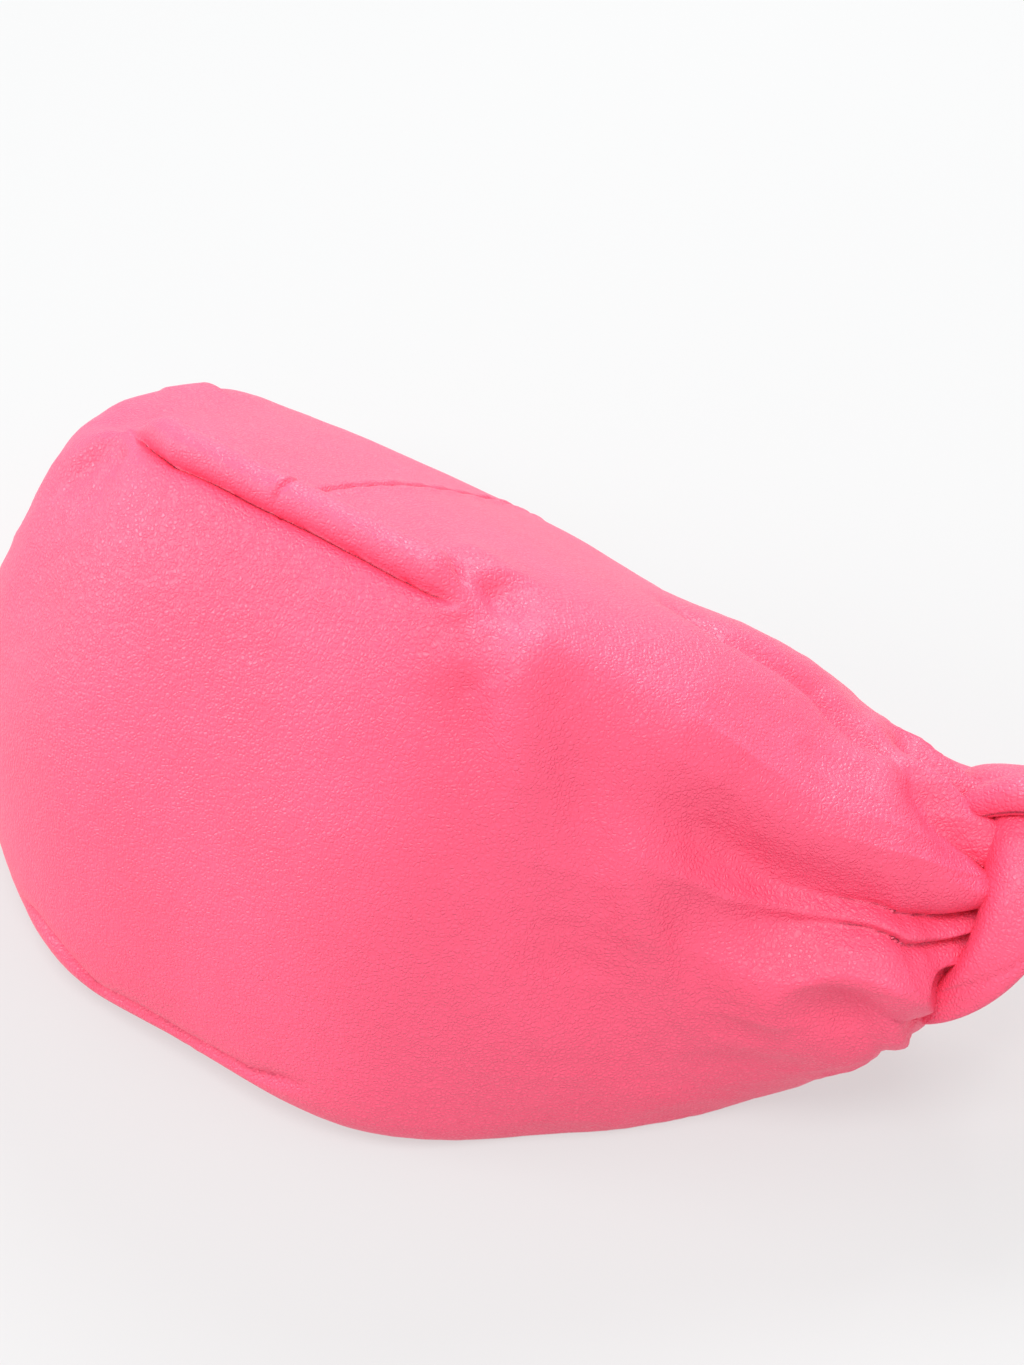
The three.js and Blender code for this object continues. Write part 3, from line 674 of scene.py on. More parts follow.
def grain_group():
    """Pebbled leather: Height for a bump, Pores between pebbles, slow Tone and fine Creases."""
    tree, given, result = new_group(
        "leather_grain",
        [("Vector", "Vector", None), ("Pebble", "Float", 0.0011)],
        [("Height", "Float"), ("Pores", "Float"), ("Tone", "Float"), ("Creases", "Float")],
    )
    scale = maths(tree, "DIVIDE", 1.0, given.outputs["Pebble"])
    wander = node(
        tree, "TexNoise", {"Vector": given.outputs["Vector"], "Scale": 260.0, "Detail": 2.0},
    )
    shifted = node(tree, "VectorMath", {0: wander.outputs["Color"]}, operation="SCALE")
    shifted.inputs["Scale"].default_value = 0.0011
    moved = node(tree, "VectorMath", {0: given.outputs["Vector"], 1: shifted.outputs[0]}, operation="ADD")
    cells = node(
        tree, "TexVoronoi", {"Vector": moved.outputs[0], "Scale": scale, "Randomness": 0.9},
        feature="DISTANCE_TO_EDGE",
    )
    domes = eased(tree, cells.outputs["Distance"], 0.0, 0.32)
    fine = node(tree, "TexNoise", {"Vector": given.outputs["Vector"], "Scale": 2300.0, "Detail": 3.0})
    wrinkle = node(
        tree, "TexNoise",
        {
            "Vector": given.outputs["Vector"], "Scale": 150.0, "Detail": 4.0, "Roughness": 0.6,
            "Distortion": 0.8,
        },
    )
    folded = maths(tree, "ABSOLUTE", maths(tree, "SUBTRACT", wrinkle.outputs["Fac"], 0.5))
    creases = maths(tree, "SUBTRACT", 1.0, eased(tree, folded, 0.0, 0.14))
    drawn = node(tree, "Mapping", {"Vector": moved.outputs[0], "Scale": (0.35, 1.0, 1.0)})
    lines = node(
        tree, "TexNoise", {"Vector": drawn.outputs[0], "Scale": 620.0, "Detail": 3.0, "Roughness": 0.6},
    )
    height = maths(tree, "MULTIPLY_ADD", fine.outputs["Fac"], 0.12, maths(tree, "MULTIPLY", domes, 0.6))
    height = maths(tree, "MULTIPLY_ADD", lines.outputs["Fac"], 0.8, height)
    height = maths(tree, "MULTIPLY_ADD", creases, -0.35, height)
    tone = node(
        tree, "TexNoise",
        {"Vector": given.outputs["Vector"], "Scale": 24.0, "Detail": 3.0, "Roughness": 0.55},
    )
    tree.links.new(height, result.inputs["Height"])
    tree.links.new(maths(tree, "SUBTRACT", 1.0, domes), result.inputs["Pores"])
    tree.links.new(tone.outputs["Fac"], result.inputs["Tone"])
    tree.links.new(creases, result.inputs["Creases"])
    return tree


def weave_group():
    """Plain weave: Height for a bump, Gaps for the shade between threads, Slub for their unevenness."""
    tree, given, result = new_group(
        "plain_weave",
        [("Vector", "Vector", None), ("Pitch", "Float", 0.0006)],
        [("Height", "Float"), ("Gaps", "Float"), ("Slub", "Float")],
    )
    turns = maths(tree, "DIVIDE", 2 * math.pi, given.outputs["Pitch"])
    parts = node(tree, "SeparateXYZ", {0: given.outputs["Vector"]})
    across = maths(tree, "SINE", maths(tree, "MULTIPLY", parts.outputs["X"], turns))
    upright = maths(tree, "ADD", parts.outputs["Y"], parts.outputs["Z"])
    along = maths(tree, "SINE", maths(tree, "MULTIPLY", upright, turns))
    height = maths(tree, "MULTIPLY", across, along)
    slub = node(tree, "TexNoise", {"Vector": given.outputs["Vector"], "Scale": 420.0, "Detail": 3.0})
    raised = maths(tree, "MULTIPLY_ADD", slub.outputs["Fac"], 0.6, height)
    tree.links.new(raised, result.inputs["Height"])
    tree.links.new(eased(tree, maths(tree, "ABSOLUTE", height), 0.0, 0.5), result.inputs["Gaps"])
    tree.links.new(slub.outputs["Fac"], result.inputs["Slub"])
    return tree


GROUPS = {}


def shared_group(name, maker):
    """A shader group that is built once, when it is first asked for."""
    if name not in GROUPS:
        GROUPS[name] = maker()
    return GROUPS[name]


def new_material(name, **shader):
    """A material with its Principled BSDF's fixed values set on the shader itself."""
    look = bpy.data.materials.new(name)
    look.use_nodes = True
    bsdf = look.node_tree.nodes["Principled BSDF"]
    for key, value in shader.items():
        bsdf.inputs[key.replace("_", " ")].default_value = value
    return look, look.node_tree, bsdf


def placed_group(tree, group, **wired):
    """A shader group placed in a material, with a socket or a value for each input."""
    made = tree.nodes.new("ShaderNodeGroup")
    made.node_tree = group
    for key, value in wired.items():
        if isinstance(value, bpy.types.NodeSocket):
            tree.links.new(value, made.inputs[key])
        else:
            made.inputs[key].default_value = value
    return made


def bump(tree, bsdf, height, distance):
    """Bumps a surface by a height, where 1 stands for a distance in metres."""
    made = node(tree, "Bump", {"Height": height, "Distance": distance, "Strength": 1.0})
    tree.links.new(made.outputs["Normal"], bsdf.inputs["Normal"])


def shade(colour, factor):
    """A colour made lighter or darker."""
    return (*(min(channel * factor, 1.0) for channel in colour[:3]), 1.0)


GRAIN_DEPTH = 0.0002
CLOTH_ROUGHNESS = 0.9


def leather(name, colour, pebble, rough=0.4, space="Object"):
    """Soft grained leather with slow changes of tone, and painted shade in its pores and in its fine
    creases.
    """
    look, tree, bsdf = new_material(name, Specular_IOR_Level=0.55)
    place = node(tree, "TexCoord").outputs[space]
    grain = placed_group(tree, shared_group("leather_grain", grain_group), Vector=place, Pebble=pebble)
    tone = eased(tree, grain.outputs["Tone"], 0.3, 0.7)
    base = blended(tree, tone, shade(colour, 0.93), shade(colour, 1.05))
    # Painted shade: the pores between the pebbles are darkened.
    pored = blended(tree, maths(tree, "MULTIPLY", grain.outputs["Pores"], 0.28), base, shade(colour, 0.72))
    # Painted shade: the fine creases are darkened.
    creased = maths(tree, "MULTIPLY", grain.outputs["Creases"], 0.08)
    crease_shaded = blended(tree, creased, pored, shade(colour, 0.78))
    tree.links.new(crease_shaded, bsdf.inputs["Base Color"])
    gloss = maths(tree, "MULTIPLY_ADD", grain.outputs["Tone"], 0.14, rough - 0.07)
    tree.links.new(maths(tree, "MULTIPLY_ADD", grain.outputs["Pores"], 0.1, gloss), bsdf.inputs["Roughness"])
    bump(tree, bsdf, grain.outputs["Height"], GRAIN_DEPTH)
    return look


def cloth(name, colour, pitch):
    """Woven cloth with a little unevenness in its threads."""
    look, tree, bsdf = new_material(name, Specular_IOR_Level=0.2, Sheen_Weight=0.25)
    place = node(tree, "TexCoord").outputs["Object"]
    weave = placed_group(tree, shared_group("plain_weave", weave_group), Vector=place, Pitch=pitch)
    woven = blended(tree, weave.outputs["Gaps"], shade(colour, 0.72), colour)
    slubbed = maths(tree, "MULTIPLY", weave.outputs["Slub"], 0.35)
    tinted = blended(tree, slubbed, woven, shade(colour, 1.12))
    tree.links.new(tinted, bsdf.inputs["Base Color"])
    rough = maths(tree, "MULTIPLY_ADD", weave.outputs["Slub"], 0.1, CLOTH_ROUGHNESS - 0.05)
    tree.links.new(rough, bsdf.inputs["Roughness"])
    bump(tree, bsdf, weave.outputs["Height"], pitch * 0.25)
    return look


def gilt(name, colour):
    """Polished gilt metal with fine rubbing marks."""
    look, tree, bsdf = new_material(name, Metallic=1.0)
    place = node(tree, "TexCoord").outputs["Object"]
    marks = node(tree, "TexNoise", {"Vector": place, "Scale": 900.0, "Detail": 4.0, "Distortion": 1.2})
    dull = node(tree, "TexNoise", {"Vector": place, "Scale": 130.0, "Detail": 2.0})
    toned = blended(tree, eased(tree, dull.outputs["Fac"], 0.35, 0.7), shade(colour, 0.86), colour)
    tree.links.new(toned, bsdf.inputs["Base Color"])
    rough = maths(tree, "MULTIPLY_ADD", marks.outputs["Fac"], 0.18, 0.16)
    tree.links.new(rough, bsdf.inputs["Roughness"])
    bump(tree, bsdf, marks.outputs["Fac"], 0.00002)
    return look


def thread_look(name, colour):
    """Twisted sewing thread."""
    look, tree, bsdf = new_material(name, Specular_IOR_Level=0.35, Sheen_Weight=0.2)
    place = node(tree, "TexCoord").outputs["Object"]
    plies = node(
        tree, "TexWave", {"Vector": place, "Scale": 420.0, "Distortion": 1.5, "Detail": 1.0},
        bands_direction="DIAGONAL",
    )
    toned = blended(tree, plies.outputs["Fac"], shade(colour, 0.72), shade(colour, 1.08))
    tree.links.new(toned, bsdf.inputs["Base Color"])
    tree.links.new(maths(tree, "MULTIPLY_ADD", plies.outputs["Fac"], 0.15, 0.5), bsdf.inputs["Roughness"])
    bump(tree, bsdf, plies.outputs["Fac"], 0.00008)
    return look


def felt_look(name, colour):
    """Pressed fibre of the handle's core."""
    look, tree, bsdf = new_material(name, Specular_IOR_Level=0.15, Sheen_Weight=0.3)
    place = node(tree, "TexCoord").outputs["Object"]
    fibres = node(tree, "TexNoise", {"Vector": place, "Scale": 1400.0, "Detail": 5.0, "Distortion": 2.0})
    toned = blended(tree, fibres.outputs["Fac"], shade(colour, 0.8), shade(colour, 1.1))
    tree.links.new(toned, bsdf.inputs["Base Color"])
    tree.links.new(maths(tree, "MULTIPLY_ADD", fibres.outputs["Fac"], 0.1, 0.85), bsdf.inputs["Roughness"])
    bump(tree, bsdf, fibres.outputs["Fac"], 0.0003)
    return look


LOOKS = {}


def looks():
    """Every finish of the bag, made once from the colours in the sidebar."""
    if LOOKS:
        return LOOKS
    tints = bpy.context.scene.bag_colours
    sizes = bpy.context.scene.bag_sizes
    pink = tints.leather
    LOOKS["leather"] = leather("grained_leather", pink, sizes.pebble)
    LOOKS["roll"] = leather("handle_leather", pink, sizes.pebble, space="UV")
    LOOKS["facing"] = leather("facing_leather", shade(pink, 0.9), sizes.pebble * 0.8, rough=0.52)
    LOOKS["lining"] = cloth("lining_cloth", tints.lining, 0.0007)
    LOOKS["tape"] = cloth("seam_tape", tints.tape, 0.0009)
    LOOKS["zip"] = cloth("zip_cloth", tints.zip_cloth, 0.0006)
    LOOKS["gilt"] = gilt("gilt_metal", tints.metal)
    LOOKS["thread"] = thread_look("sewing_thread", shade(pink, 0.55))
    LOOKS["felt"] = felt_look("core_felt", tints.felt)
    return LOOKS


SHELLS = {}


def shell():
    """The leather's shape, worked out once from the sizes in the sidebar."""
    if "bag" not in SHELLS:
        SHELLS["bag"] = Shell(bpy.context.scene.bag_sizes)
    return SHELLS["bag"]


# ---------------------------------------------------------------- settings
class BagSizes(bpy.types.PropertyGroup):
    leather: bpy.props.FloatProperty(
        name="Leather", description="Thickness of the outer leather", default=0.0011, unit="LENGTH",
    )
    pebble: bpy.props.FloatProperty(
        name="Grain", description="Size of one pebble of the grain", default=0.0010, unit="LENGTH",
    )
    stitch_pitch: bpy.props.FloatProperty(
        name="Stitch pitch", description="Length of one stitch with its gap", default=0.0027, unit="LENGTH",
    )
    fold_depth: bpy.props.FloatProperty(
        name="Fold depth", description="How deep the gathers are, as a share of their usual depth",
        default=1.0, subtype="FACTOR",
    )
    handle_radius: bpy.props.FloatProperty(
        name="Handle radius", description="Half the handle's diameter", default=0.0098, unit="LENGTH",
    )


class BagColours(bpy.types.PropertyGroup):
    leather: bpy.props.FloatVectorProperty(
        name="Leather", description="Colour of the leather", subtype="COLOR", size=4,
        default=(1.0, 0.088, 0.19, 1), min=0, max=1,
    )
    lining: bpy.props.FloatVectorProperty(
        name="Lining", description="Colour of the lining", subtype="COLOR", size=4,
        default=(0.62, 0.36, 0.38, 1), min=0, max=1,
    )
    tape: bpy.props.FloatVectorProperty(
        name="Seam tape", description="Colour of the tape over the seams", subtype="COLOR", size=4,
        default=(0.8, 0.68, 0.66, 1), min=0, max=1,
    )
    zip_cloth: bpy.props.FloatVectorProperty(
        name="Zip tape", description="Colour of the zip's tapes", subtype="COLOR", size=4,
        default=(0.72, 0.11, 0.2, 1), min=0, max=1,
    )
    metal: bpy.props.FloatVectorProperty(
        name="Metal", description="Colour of the snap and the zip", subtype="COLOR", size=4,
        default=(0.83, 0.6, 0.28, 1), min=0, max=1,
    )
    felt: bpy.props.FloatVectorProperty(
        name="Core", description="Colour of the handle's core", subtype="COLOR", size=4,
        default=(0.75, 0.7, 0.62, 1), min=0, max=1,
    )
    floor: bpy.props.FloatVectorProperty(
        name="Floor", description="Colour of the floor", subtype="COLOR", size=4,
        default=(0.2, 0.203, 0.204, 1), min=0, max=1,
    )


class StageSettings(bpy.types.PropertyGroup):
    azimuth: bpy.props.FloatProperty(
        name="Azimuth", description="Direction of the camera round the bag", default=math.radians(39),
        subtype="ANGLE",
    )
    elevation: bpy.props.FloatProperty(
        name="Elevation", description="Height of the camera as an angle", default=math.radians(40),
        subtype="ANGLE",
    )
    distance: bpy.props.FloatProperty(
        name="Distance", description="From the camera to the bag's middle", default=0.68, unit="LENGTH",
    )
    lens: bpy.props.FloatProperty(
        name="Lens", description="Focal length in millimetres", default=79.1, unit="CAMERA",
    )
    fill: bpy.props.FloatProperty(
        name="Fill", description="Strength of the even light from all round", default=0.82, min=0,
    )


# ---------------------------------------------------------------- stage
AIM = Vector((0.0094, 0.0481, 0.0502))  # the place that the camera and the lamps point at
LAMPS = [  # name, place from the aim, diameter, watts
    ("key_light", (-0.3, 0.7, 0.95), 0.5, 10),
    ("side_light", (-1.1, -0.8, 0.4), 0.5, 9),
    ("top_light", (0.25, -0.5, 1.2), 0.6, 10),
]
SENSOR = 36  # millimetres
FLOOR_SIZE = 6
FLOOR_MIDDLE = (0, 0.6, 0)
FLOOR_GLOW = 0.56
WHITE = (1, 1, 1, 1)


class BAG_OT_stage(bpy.types.Operator):
    """Sets up the pale floor, the soft lights and the camera"""

    bl_idname = "bag.stage"
    bl_label = "Stage"

    def execute(self, context):
        settings = context.scene.bag_stage
        self.floor(context)
        self.world(context, settings.fill)
        for lamp in LAMPS:
            self.lamp(context, *lamp)
        self.camera(context, settings)
        context.scene.view_settings.view_transform = "Standard"
        return {"FINISHED"}

    def camera(self, context, settings):
        """The camera, looking at the bag's base and right end from above."""
        azimuth, elevation = settings.azimuth, settings.elevation
        away = Vector((
            math.sin(azimuth) * math.cos(elevation),
            -math.cos(azimuth) * math.cos(elevation),
            math.sin(elevation),
        ))
        bpy.ops.object.camera_add(
            location=AIM + away * settings.distance,
            rotation=(math.pi / 2 - elevation, 0, azimuth),
        )
        camera = context.active_object
        camera.name = "view_camera"
        camera.data.lens = settings.lens
        camera.data.sensor_width = SENSOR
        camera.data.sensor_fit = "AUTO"
        context.scene.camera = camera

    def floor(self, context):
        """A wide pale floor that glows a little, so that it stays near white."""
        bpy.ops.mesh.primitive_grid_add(
            x_subdivisions=8, y_subdivisions=8, size=FLOOR_SIZE, location=FLOOR_MIDDLE,
        )
        floor = settle(context.active_object)
        floor.name = "floor"
        look, tree, bsdf = new_material("pale_floor", Specular_IOR_Level=0.1)
        place = node(tree, "TexCoord").outputs["Object"]
        cloud = node(tree, "TexNoise", {"Vector": place, "Scale": 3.0, "Detail": 2.0})
        tint = context.scene.bag_colours.floor
        toned = blended(tree, cloud.outputs["Fac"], shade(tint, 0.985), shade(tint, 1.015))
        tree.links.new(toned, bsdf.inputs["Base Color"])
        bsdf.inputs["Roughness"].default_value = 0.9
        bsdf.inputs["Emission Color"].default_value = WHITE
        bsdf.inputs["Emission Strength"].default_value = FLOOR_GLOW
        floor.data.materials.append(look)

    def world(self, context, strength):
        """Even white light from all round."""
        world = bpy.data.worlds.new("soft_room")
        world.use_nodes = True
        back = world.node_tree.nodes["Background"]
        back.inputs["Color"].default_value = WHITE
        back.inputs["Strength"].default_value = strength
        context.scene.world = world

    def lamp(self, context, name, away, size, power):
        """A round soft lamp that points at the aim."""
        place = AIM + Vector(away)
        bpy.ops.object.light_add(type="AREA", location=place)
        lamp = context.active_object
        lamp.name = name
        lamp.data.shape = "DISK"
        lamp.data.size = size
        lamp.data.energy = power
        lamp.rotation_euler = (AIM - place).to_track_quat("-Z", "Y").to_euler()


# ---------------------------------------------------------------- outer leather
THREAD_HALF = 0.2
STITCH_SHARE = 0.72  # of the pitch; the rest is the gap after it
STITCH_SIDES = 6
STITCH_SWELL = np.array([0.35, 0.9, 1.0, 0.9, 0.35])  # its thickness from end to end
STITCH_RISE = np.array([-0.6, 0.35, 0.6, 0.35, -0.6])  # its height from end to end
LIP_ROW = np.linspace(-3.4, 3.4, 1400)
SEAM_ROWS = ((0.022, 0.308), (0.66, 0.976))  # around, of the front and the back seam's stitches
SEAM_ROW_ALONG = 0.012
SEAM_ROW_POINTS = 900


class BAG_OT_leather(bpy.types.Operator):
    """Builds the outer leather with its tucks, seams, gathers and rows of stitches"""

    bl_idname = "bag.leather"
    bl_label = "Outer leather"

    def execute(self, context):
        body = shell()
        thickness = context.scene.bag_sizes.leather / MM
        a, t = np.meshgrid(body.along[::INNER_STEP], body.around[::INNER_STEP], indexing="ij")
        inner = body.inside(a, t, thickness)
        pouch = closed_sheet("outer_leather", body.outer, inner, INNER_STEP)
        finished(pouch, "bag", "outer_leather", looks()["leather"], "outer_body")
        self.stitches(body, context.scene.bag_sizes.stitch_pitch / MM)
        return {"FINISHED"}

    def stitches(self, body, pitch):
        """The rows of thread along both lips and down both centre seams."""
        share = LIP_STITCH / np.interp(LIP_ROW, TABLE_ALONG, GIRTHS)
        rows = [(LIP_ROW, share), (LIP_ROW, 1 - share)]
        for low, high in SEAM_ROWS:
            rows.append((np.full(SEAM_ROW_POINTS, SEAM_ROW_ALONG), np.linspace(low, high, SEAM_ROW_POINTS)))
        points, faces = [], []
        for along, around in rows:
            self.row(body, along, around, pitch, points, faces)
        thread = new_mesh("stitch_rows", np.vstack(points), faces)
        finished(thread, "bag", "outer_leather", looks()["thread"], "outer_body")

    def row(self, body, along, around, pitch, points, faces):
        """One row of stitches: a thin rounded bead for each, with a gap after it."""
        line = body.on_face(along, around)
        _, _, normals = tangents(along, around)
        run = lengths(line)
        angle = np.linspace(0, 2 * np.pi, STITCH_SIDES, endpoint=False)
        rings = len(STITCH_SWELL)
        for start in np.arange(0, run[-1] - pitch, pitch):
            steps = start + np.linspace(0, pitch * STITCH_SHARE, rings)
            spine = np.stack([np.interp(steps, run, line[:, k]) for k in range(3)], -1)
            up = unit(np.stack([np.interp(steps, run, normals[:, k]) for k in range(3)], -1))
            aside = unit(np.cross(unit(np.gradient(spine, axis=0)), up))
            size = THREAD_HALF * STITCH_SWELL
            centre = spine + up * (THREAD_HALF * STITCH_RISE)[:, None]
            ring = centre[:, None] + size[:, None, None] * (
                np.cos(angle)[None, :, None] * aside[:, None] + np.sin(angle)[None, :, None] * up[:, None]
            )
            first = sum(len(block) for block in points)
            points.append(ring.reshape(-1, 3))
            number = first + np.arange(rings * STITCH_SIDES).reshape(rings, STITCH_SIDES)
            ahead = np.roll(number, -1, 1)
            walls = np.stack([number[:-1], number[1:], ahead[1:], ahead[:-1]], -1).reshape(-1, 4)
            faces += [*walls.tolist(), number[0].tolist(), number[-1][::-1].tolist()]


# ---------------------------------------------------------------- lining and facings
# Spans are along the bag; depths are from the leather's outer face to the strip's two faces, in mm.
LIP = 0.012  # around, from the lip to the edges of the lining and the facings
LINING_SPAN = (-4.3, 4.3)
LINING_DEPTHS = (2.5, 3.1)
FACING_SPAN = (-2.6, 2.6)
FACING_SHARE = 0.075  # around, from the lip to a facing's inner edge
FACING_DEPTHS = (3.6, 4.7)
TAPE_SPAN = (-0.1, 0.1)
TAPE_DEPTHS = (1.8, 2.2)
TAG_SPAN = (-0.36, 0.36)
TAG_AROUND = (0.872, 0.915)
TAG_DEPTHS = (3.7, 4.5)


def strip(name, along_span, around_span, counts, depths):
    """A closed sheet inside the shell over a patch of it, between two depths."""
    a, t = np.meshgrid(
        np.linspace(*along_span, counts[0] + 1), np.linspace(*around_span, counts[1] + 1), indexing="ij"
    )
    outer, inner = (shell().inside(a, t, depth) for depth in depths)
    return closed_sheet(name, outer, inner)


class BAG_OT_inside(bpy.types.Operator):
    """Builds the lining, the facings of the mouth, the seam tapes and the blank tag"""

    bl_idname = "bag.inside"
    bl_label = "Lining and facings"

    def execute(self, context):
        made = looks()
        lining = strip("lining_cloth_bag", LINING_SPAN, (LIP, 1 - LIP), (190, 150), LINING_DEPTHS)
        finished(lining, "bag", "lining_cloth", made["lining"], "lining")
        for side, span in (("front", (LIP, FACING_SHARE)), ("back", (1 - FACING_SHARE, 1 - LIP))):
            facing = strip(side + "_facing_strip", FACING_SPAN, span, (120, 14), FACING_DEPTHS)
            finished(facing, "bag", "facing_leather", made["facing"], side + "_facing")
        for side, span in (("front", (0.02, 0.26)), ("back", (0.695, 0.98))):
            tape = strip(side + "_tape", TAPE_SPAN, span, (6, 60), TAPE_DEPTHS)
            finished(tape, "bag", "seam_tape", made["tape"], side + "_seam_tape")
        tag = strip("blank_tag", TAG_SPAN, TAG_AROUND, (24, 14), TAG_DEPTHS)
        finished(tag, "bag", "facing_leather", made["facing"], "inner_tag")
        return {"FINISHED"}


# ---------------------------------------------------------------- pocket and zip
POCKET_INSET = 0.1  # from the pocket's box to its outer face
POCKET_WALL = 0.8
POCKET_SQUARENESS = 0.42  # power of its section's rounding; 1 is an ellipse
POCKET_SEAM = 3.2  # from its edge to the seam round it
SEAM_PINCH = 0.25  # share of the pocket's thickness that the seam takes
SLOT_OPEN = 0.15  # half the opening under the zip, as an angle of its section
ZIP_SHARE = 22 / 30  # the zip's place between the pocket's middle and its upper edge
ZIP_HALF = 47.0
RIB_PITCH = 1.25  # of the zip tapes' weave
TEETH_PIECES = ("zip_teeth_upper", "zip_teeth_lower")
ZIP_PIECES = ("zip_stop_start", "zip_stop_end", "zip_slider", "zip_pull")
SNAP_PIECES = ("snap_socket", "snap_stud")
EDGE_WIDTHS = {TEETH_PIECES: 0.00012, ZIP_PIECES: 0.00028, SNAP_PIECES: 0.0003}
MERGE_DISTANCE = 0.00001
FLAT_ANGLE = math.radians(4)  # faces closer than this are one flat face
EDGE_ANGLE = math.radians(32)  # edges sharper than this are rounded
MOVING = {"zip_slider": "slider", "zip_pull": "pull"}  # the bodies of the pieces that move


class BAG_OT_pocket(bpy.types.Operator):
    """Builds the inner pocket and the tapes of its zip"""

    bl_idname = "bag.pocket"
    bl_label = "Pocket"

    def execute(self, context):
        made = looks()
        pocket = closed_sheet(
            "pocket_cloth", self.faces(POCKET_INSET), self.faces(POCKET_INSET + POCKET_WALL)
        )
        finished(pocket, "bag", "lining_cloth", made["lining"], "pocket_bag")
        for side in ("upper", "lower"):
            self.tape(side, made)
        return {"FINISHED"}

    def faces(self, inset):
        """The pocket's surface at a depth, from one lip of its slot round to the other."""
        low, high = (np.array(corner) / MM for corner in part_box("pocket_bag"))
        half = (high - low) / 2 - inset
        middle = (high + low) / 2
        ends = np.sin(np.linspace(-np.pi / 2, np.pi / 2, 97))  # closer rows at both ends
        a, t = np.meshgrid(ends, np.linspace(0, 1, 201), indexing="ij")
        x = a * half[0]
        opens = SLOT_OPEN * (1 - soft_step(np.abs(x), ZIP_HALF - 2, ZIP_HALF)) + 0.004
        middle_angle = np.arccos(ZIP_SHARE ** (1 / POCKET_SQUARENESS))
        angle = middle_angle - opens - t * (2 * np.pi - 2 * opens)
        cosine, sine = np.cos(angle), np.sin(angle)
        reach = np.sign(cosine) * np.abs(cosine) ** POCKET_SQUARENESS
        rise = np.sign(sine) * np.abs(sine) ** POCKET_SQUARENESS
        corner = (1 - np.abs(a) ** 14 * 0.96) ** 0.3
        y = reach * half[1] * (1 - 0.05 * np.abs(a) ** 12)
        seam = SEAM_PINCH * np.exp(-(((np.abs(y) - half[1] + POCKET_SEAM) / 0.8) ** 2))
        seam = seam + SEAM_PINCH * np.exp(-(((np.abs(x) - half[0] + POCKET_SEAM) / 0.8) ** 2))
        slack = 0.16 * (1 + noise(x / 13, y / 11, SEED + 5)) * (1 - soft_step(y, 6, 14)) * (rise > 0)
        z = rise * half[2] * corner * (1 - np.minimum(seam, 0.3) - slack)
        return np.stack([x, y, z], -1) + middle

    def tape(self, side, made):
        """One woven tape, with its finished edge and a little wave."""
        low, high = (np.array(corner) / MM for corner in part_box("zip_tape_" + side))
        x, y = np.meshgrid(
            np.linspace(low[0], high[0], 161), np.linspace(low[1], high[1], 19), indexing="ij"
        )
        wave = 0.06 * noise(x / 9, y / 6, SEED + 6)
        edge = np.minimum(y - low[1], high[1] - y)
        thin = 0.1 * (1 - soft_step(edge, 0, 0.7))
        ribs = 0.05 * np.cos(2 * np.pi * x / RIB_PITCH) * soft_step(edge, 0.2, 0.9)
        top = np.stack([x, y, high[2] - 0.1 + wave + ribs - thin], -1)
        under = np.stack([x, y, low[2] + 0.08 + wave + thin], -1)
        piece = closed_sheet("woven_tape_" + side, top, under)
        finished(piece, "bag", "zip_cloth", made["zip"], "zip_tape_" + side)


class BAG_OT_hardware(bpy.types.Operator):
    """Builds the zip's metal and the snap with rounded edges"""

    bl_idname = "bag.hardware"
    bl_label = "Zip and snap"

    def execute(self, context):
        gilded = looks()["gilt"]
        for names, width in EDGE_WIDTHS.items():
            for name in names:
                piece = self.rounded(context, name, "bright_" + name, width)
                finished(piece, MOVING.get(name, "bag"), "gilt_metal", gilded, name)
        return {"FINISHED"}

    def rounded(self, context, node_name, name, width):
        """A copy of a metal piece whose edges are rounded over."""
        source = frame["nodes"][node_name]
        copied = source.data.copy()
        copied.transform(source.matrix_world)
        piece = bpy.data.objects.new(name, copied)
        context.scene.collection.objects.link(piece)
        bpy.ops.object.select_all(action="DESELECT")
        piece.select_set(True)
        context.view_layer.objects.active = piece
        bpy.ops.object.mode_set(mode="EDIT")
        bpy.ops.mesh.select_all(action="SELECT")
        bpy.ops.mesh.remove_doubles(threshold=MERGE_DISTANCE)
        bpy.ops.mesh.dissolve_limited(angle_limit=FLAT_ANGLE)
        bpy.ops.object.mode_set(mode="OBJECT")
        bpy.ops.object.modifier_add(type="BEVEL")
        bevel = piece.modifiers[-1]
        bevel.width = width
        bevel.segments = 3
        bevel.limit_method = "ANGLE"
        bevel.angle_limit = EDGE_ANGLE
        bevel.harden_normals = False
        bpy.ops.object.modifier_apply(modifier=bevel.name)
        bpy.ops.object.shade_smooth_by_angle(angle=SMOOTH_ANGLE)
        return piece


# ---------------------------------------------------------------- knots
# A knot is a wrap round the neck and a turn at its outer end. middle and turn are their middles; heading
# and tilt, in degrees, point the neck; outer, inner and width are the wrap's radii and length; flare
# widens the wrap towards the turn, and narrows draws in its low side. ring and tube are the turn's radii.
RIGHT_KNOT = dict(
    middle=(127, 122, 46), heading=45, tilt=25, outer=29.5, inner=15, width=22, flare=3.0, narrows=1,
    turn=(147, 142, 41), ring=9, tube=9.5,
)
LEFT_KNOT = dict(
    middle=(-129, 131, 23), heading=138, tilt=-6, outer=21.5, inner=11, width=20, flare=1.5, narrows=0,
    turn=(-138, 140, 19.5), ring=8, tube=8.5,
)
WRAP_LOW = 0.45  # angle between the wrap's lowest place and its narrowest
# Creases across a wrap: the angle round the neck, how they lean, and their depth.
WRAP_CREASES = ((0.5, 0.5, 1.0), (1.9, -0.4, 0.7), (3.2, 0.6, 1.1), (4.6, -0.5, 0.8))
WRAP_CREASE_HALF = 0.07
TURN_CREASES = 5
TURN_CREASE_STEP = 1.25  # angle between two of them
TURN_CREASE_HALF = 0.08
TURN_INSET = 0.2
BAND_STEPS = 16
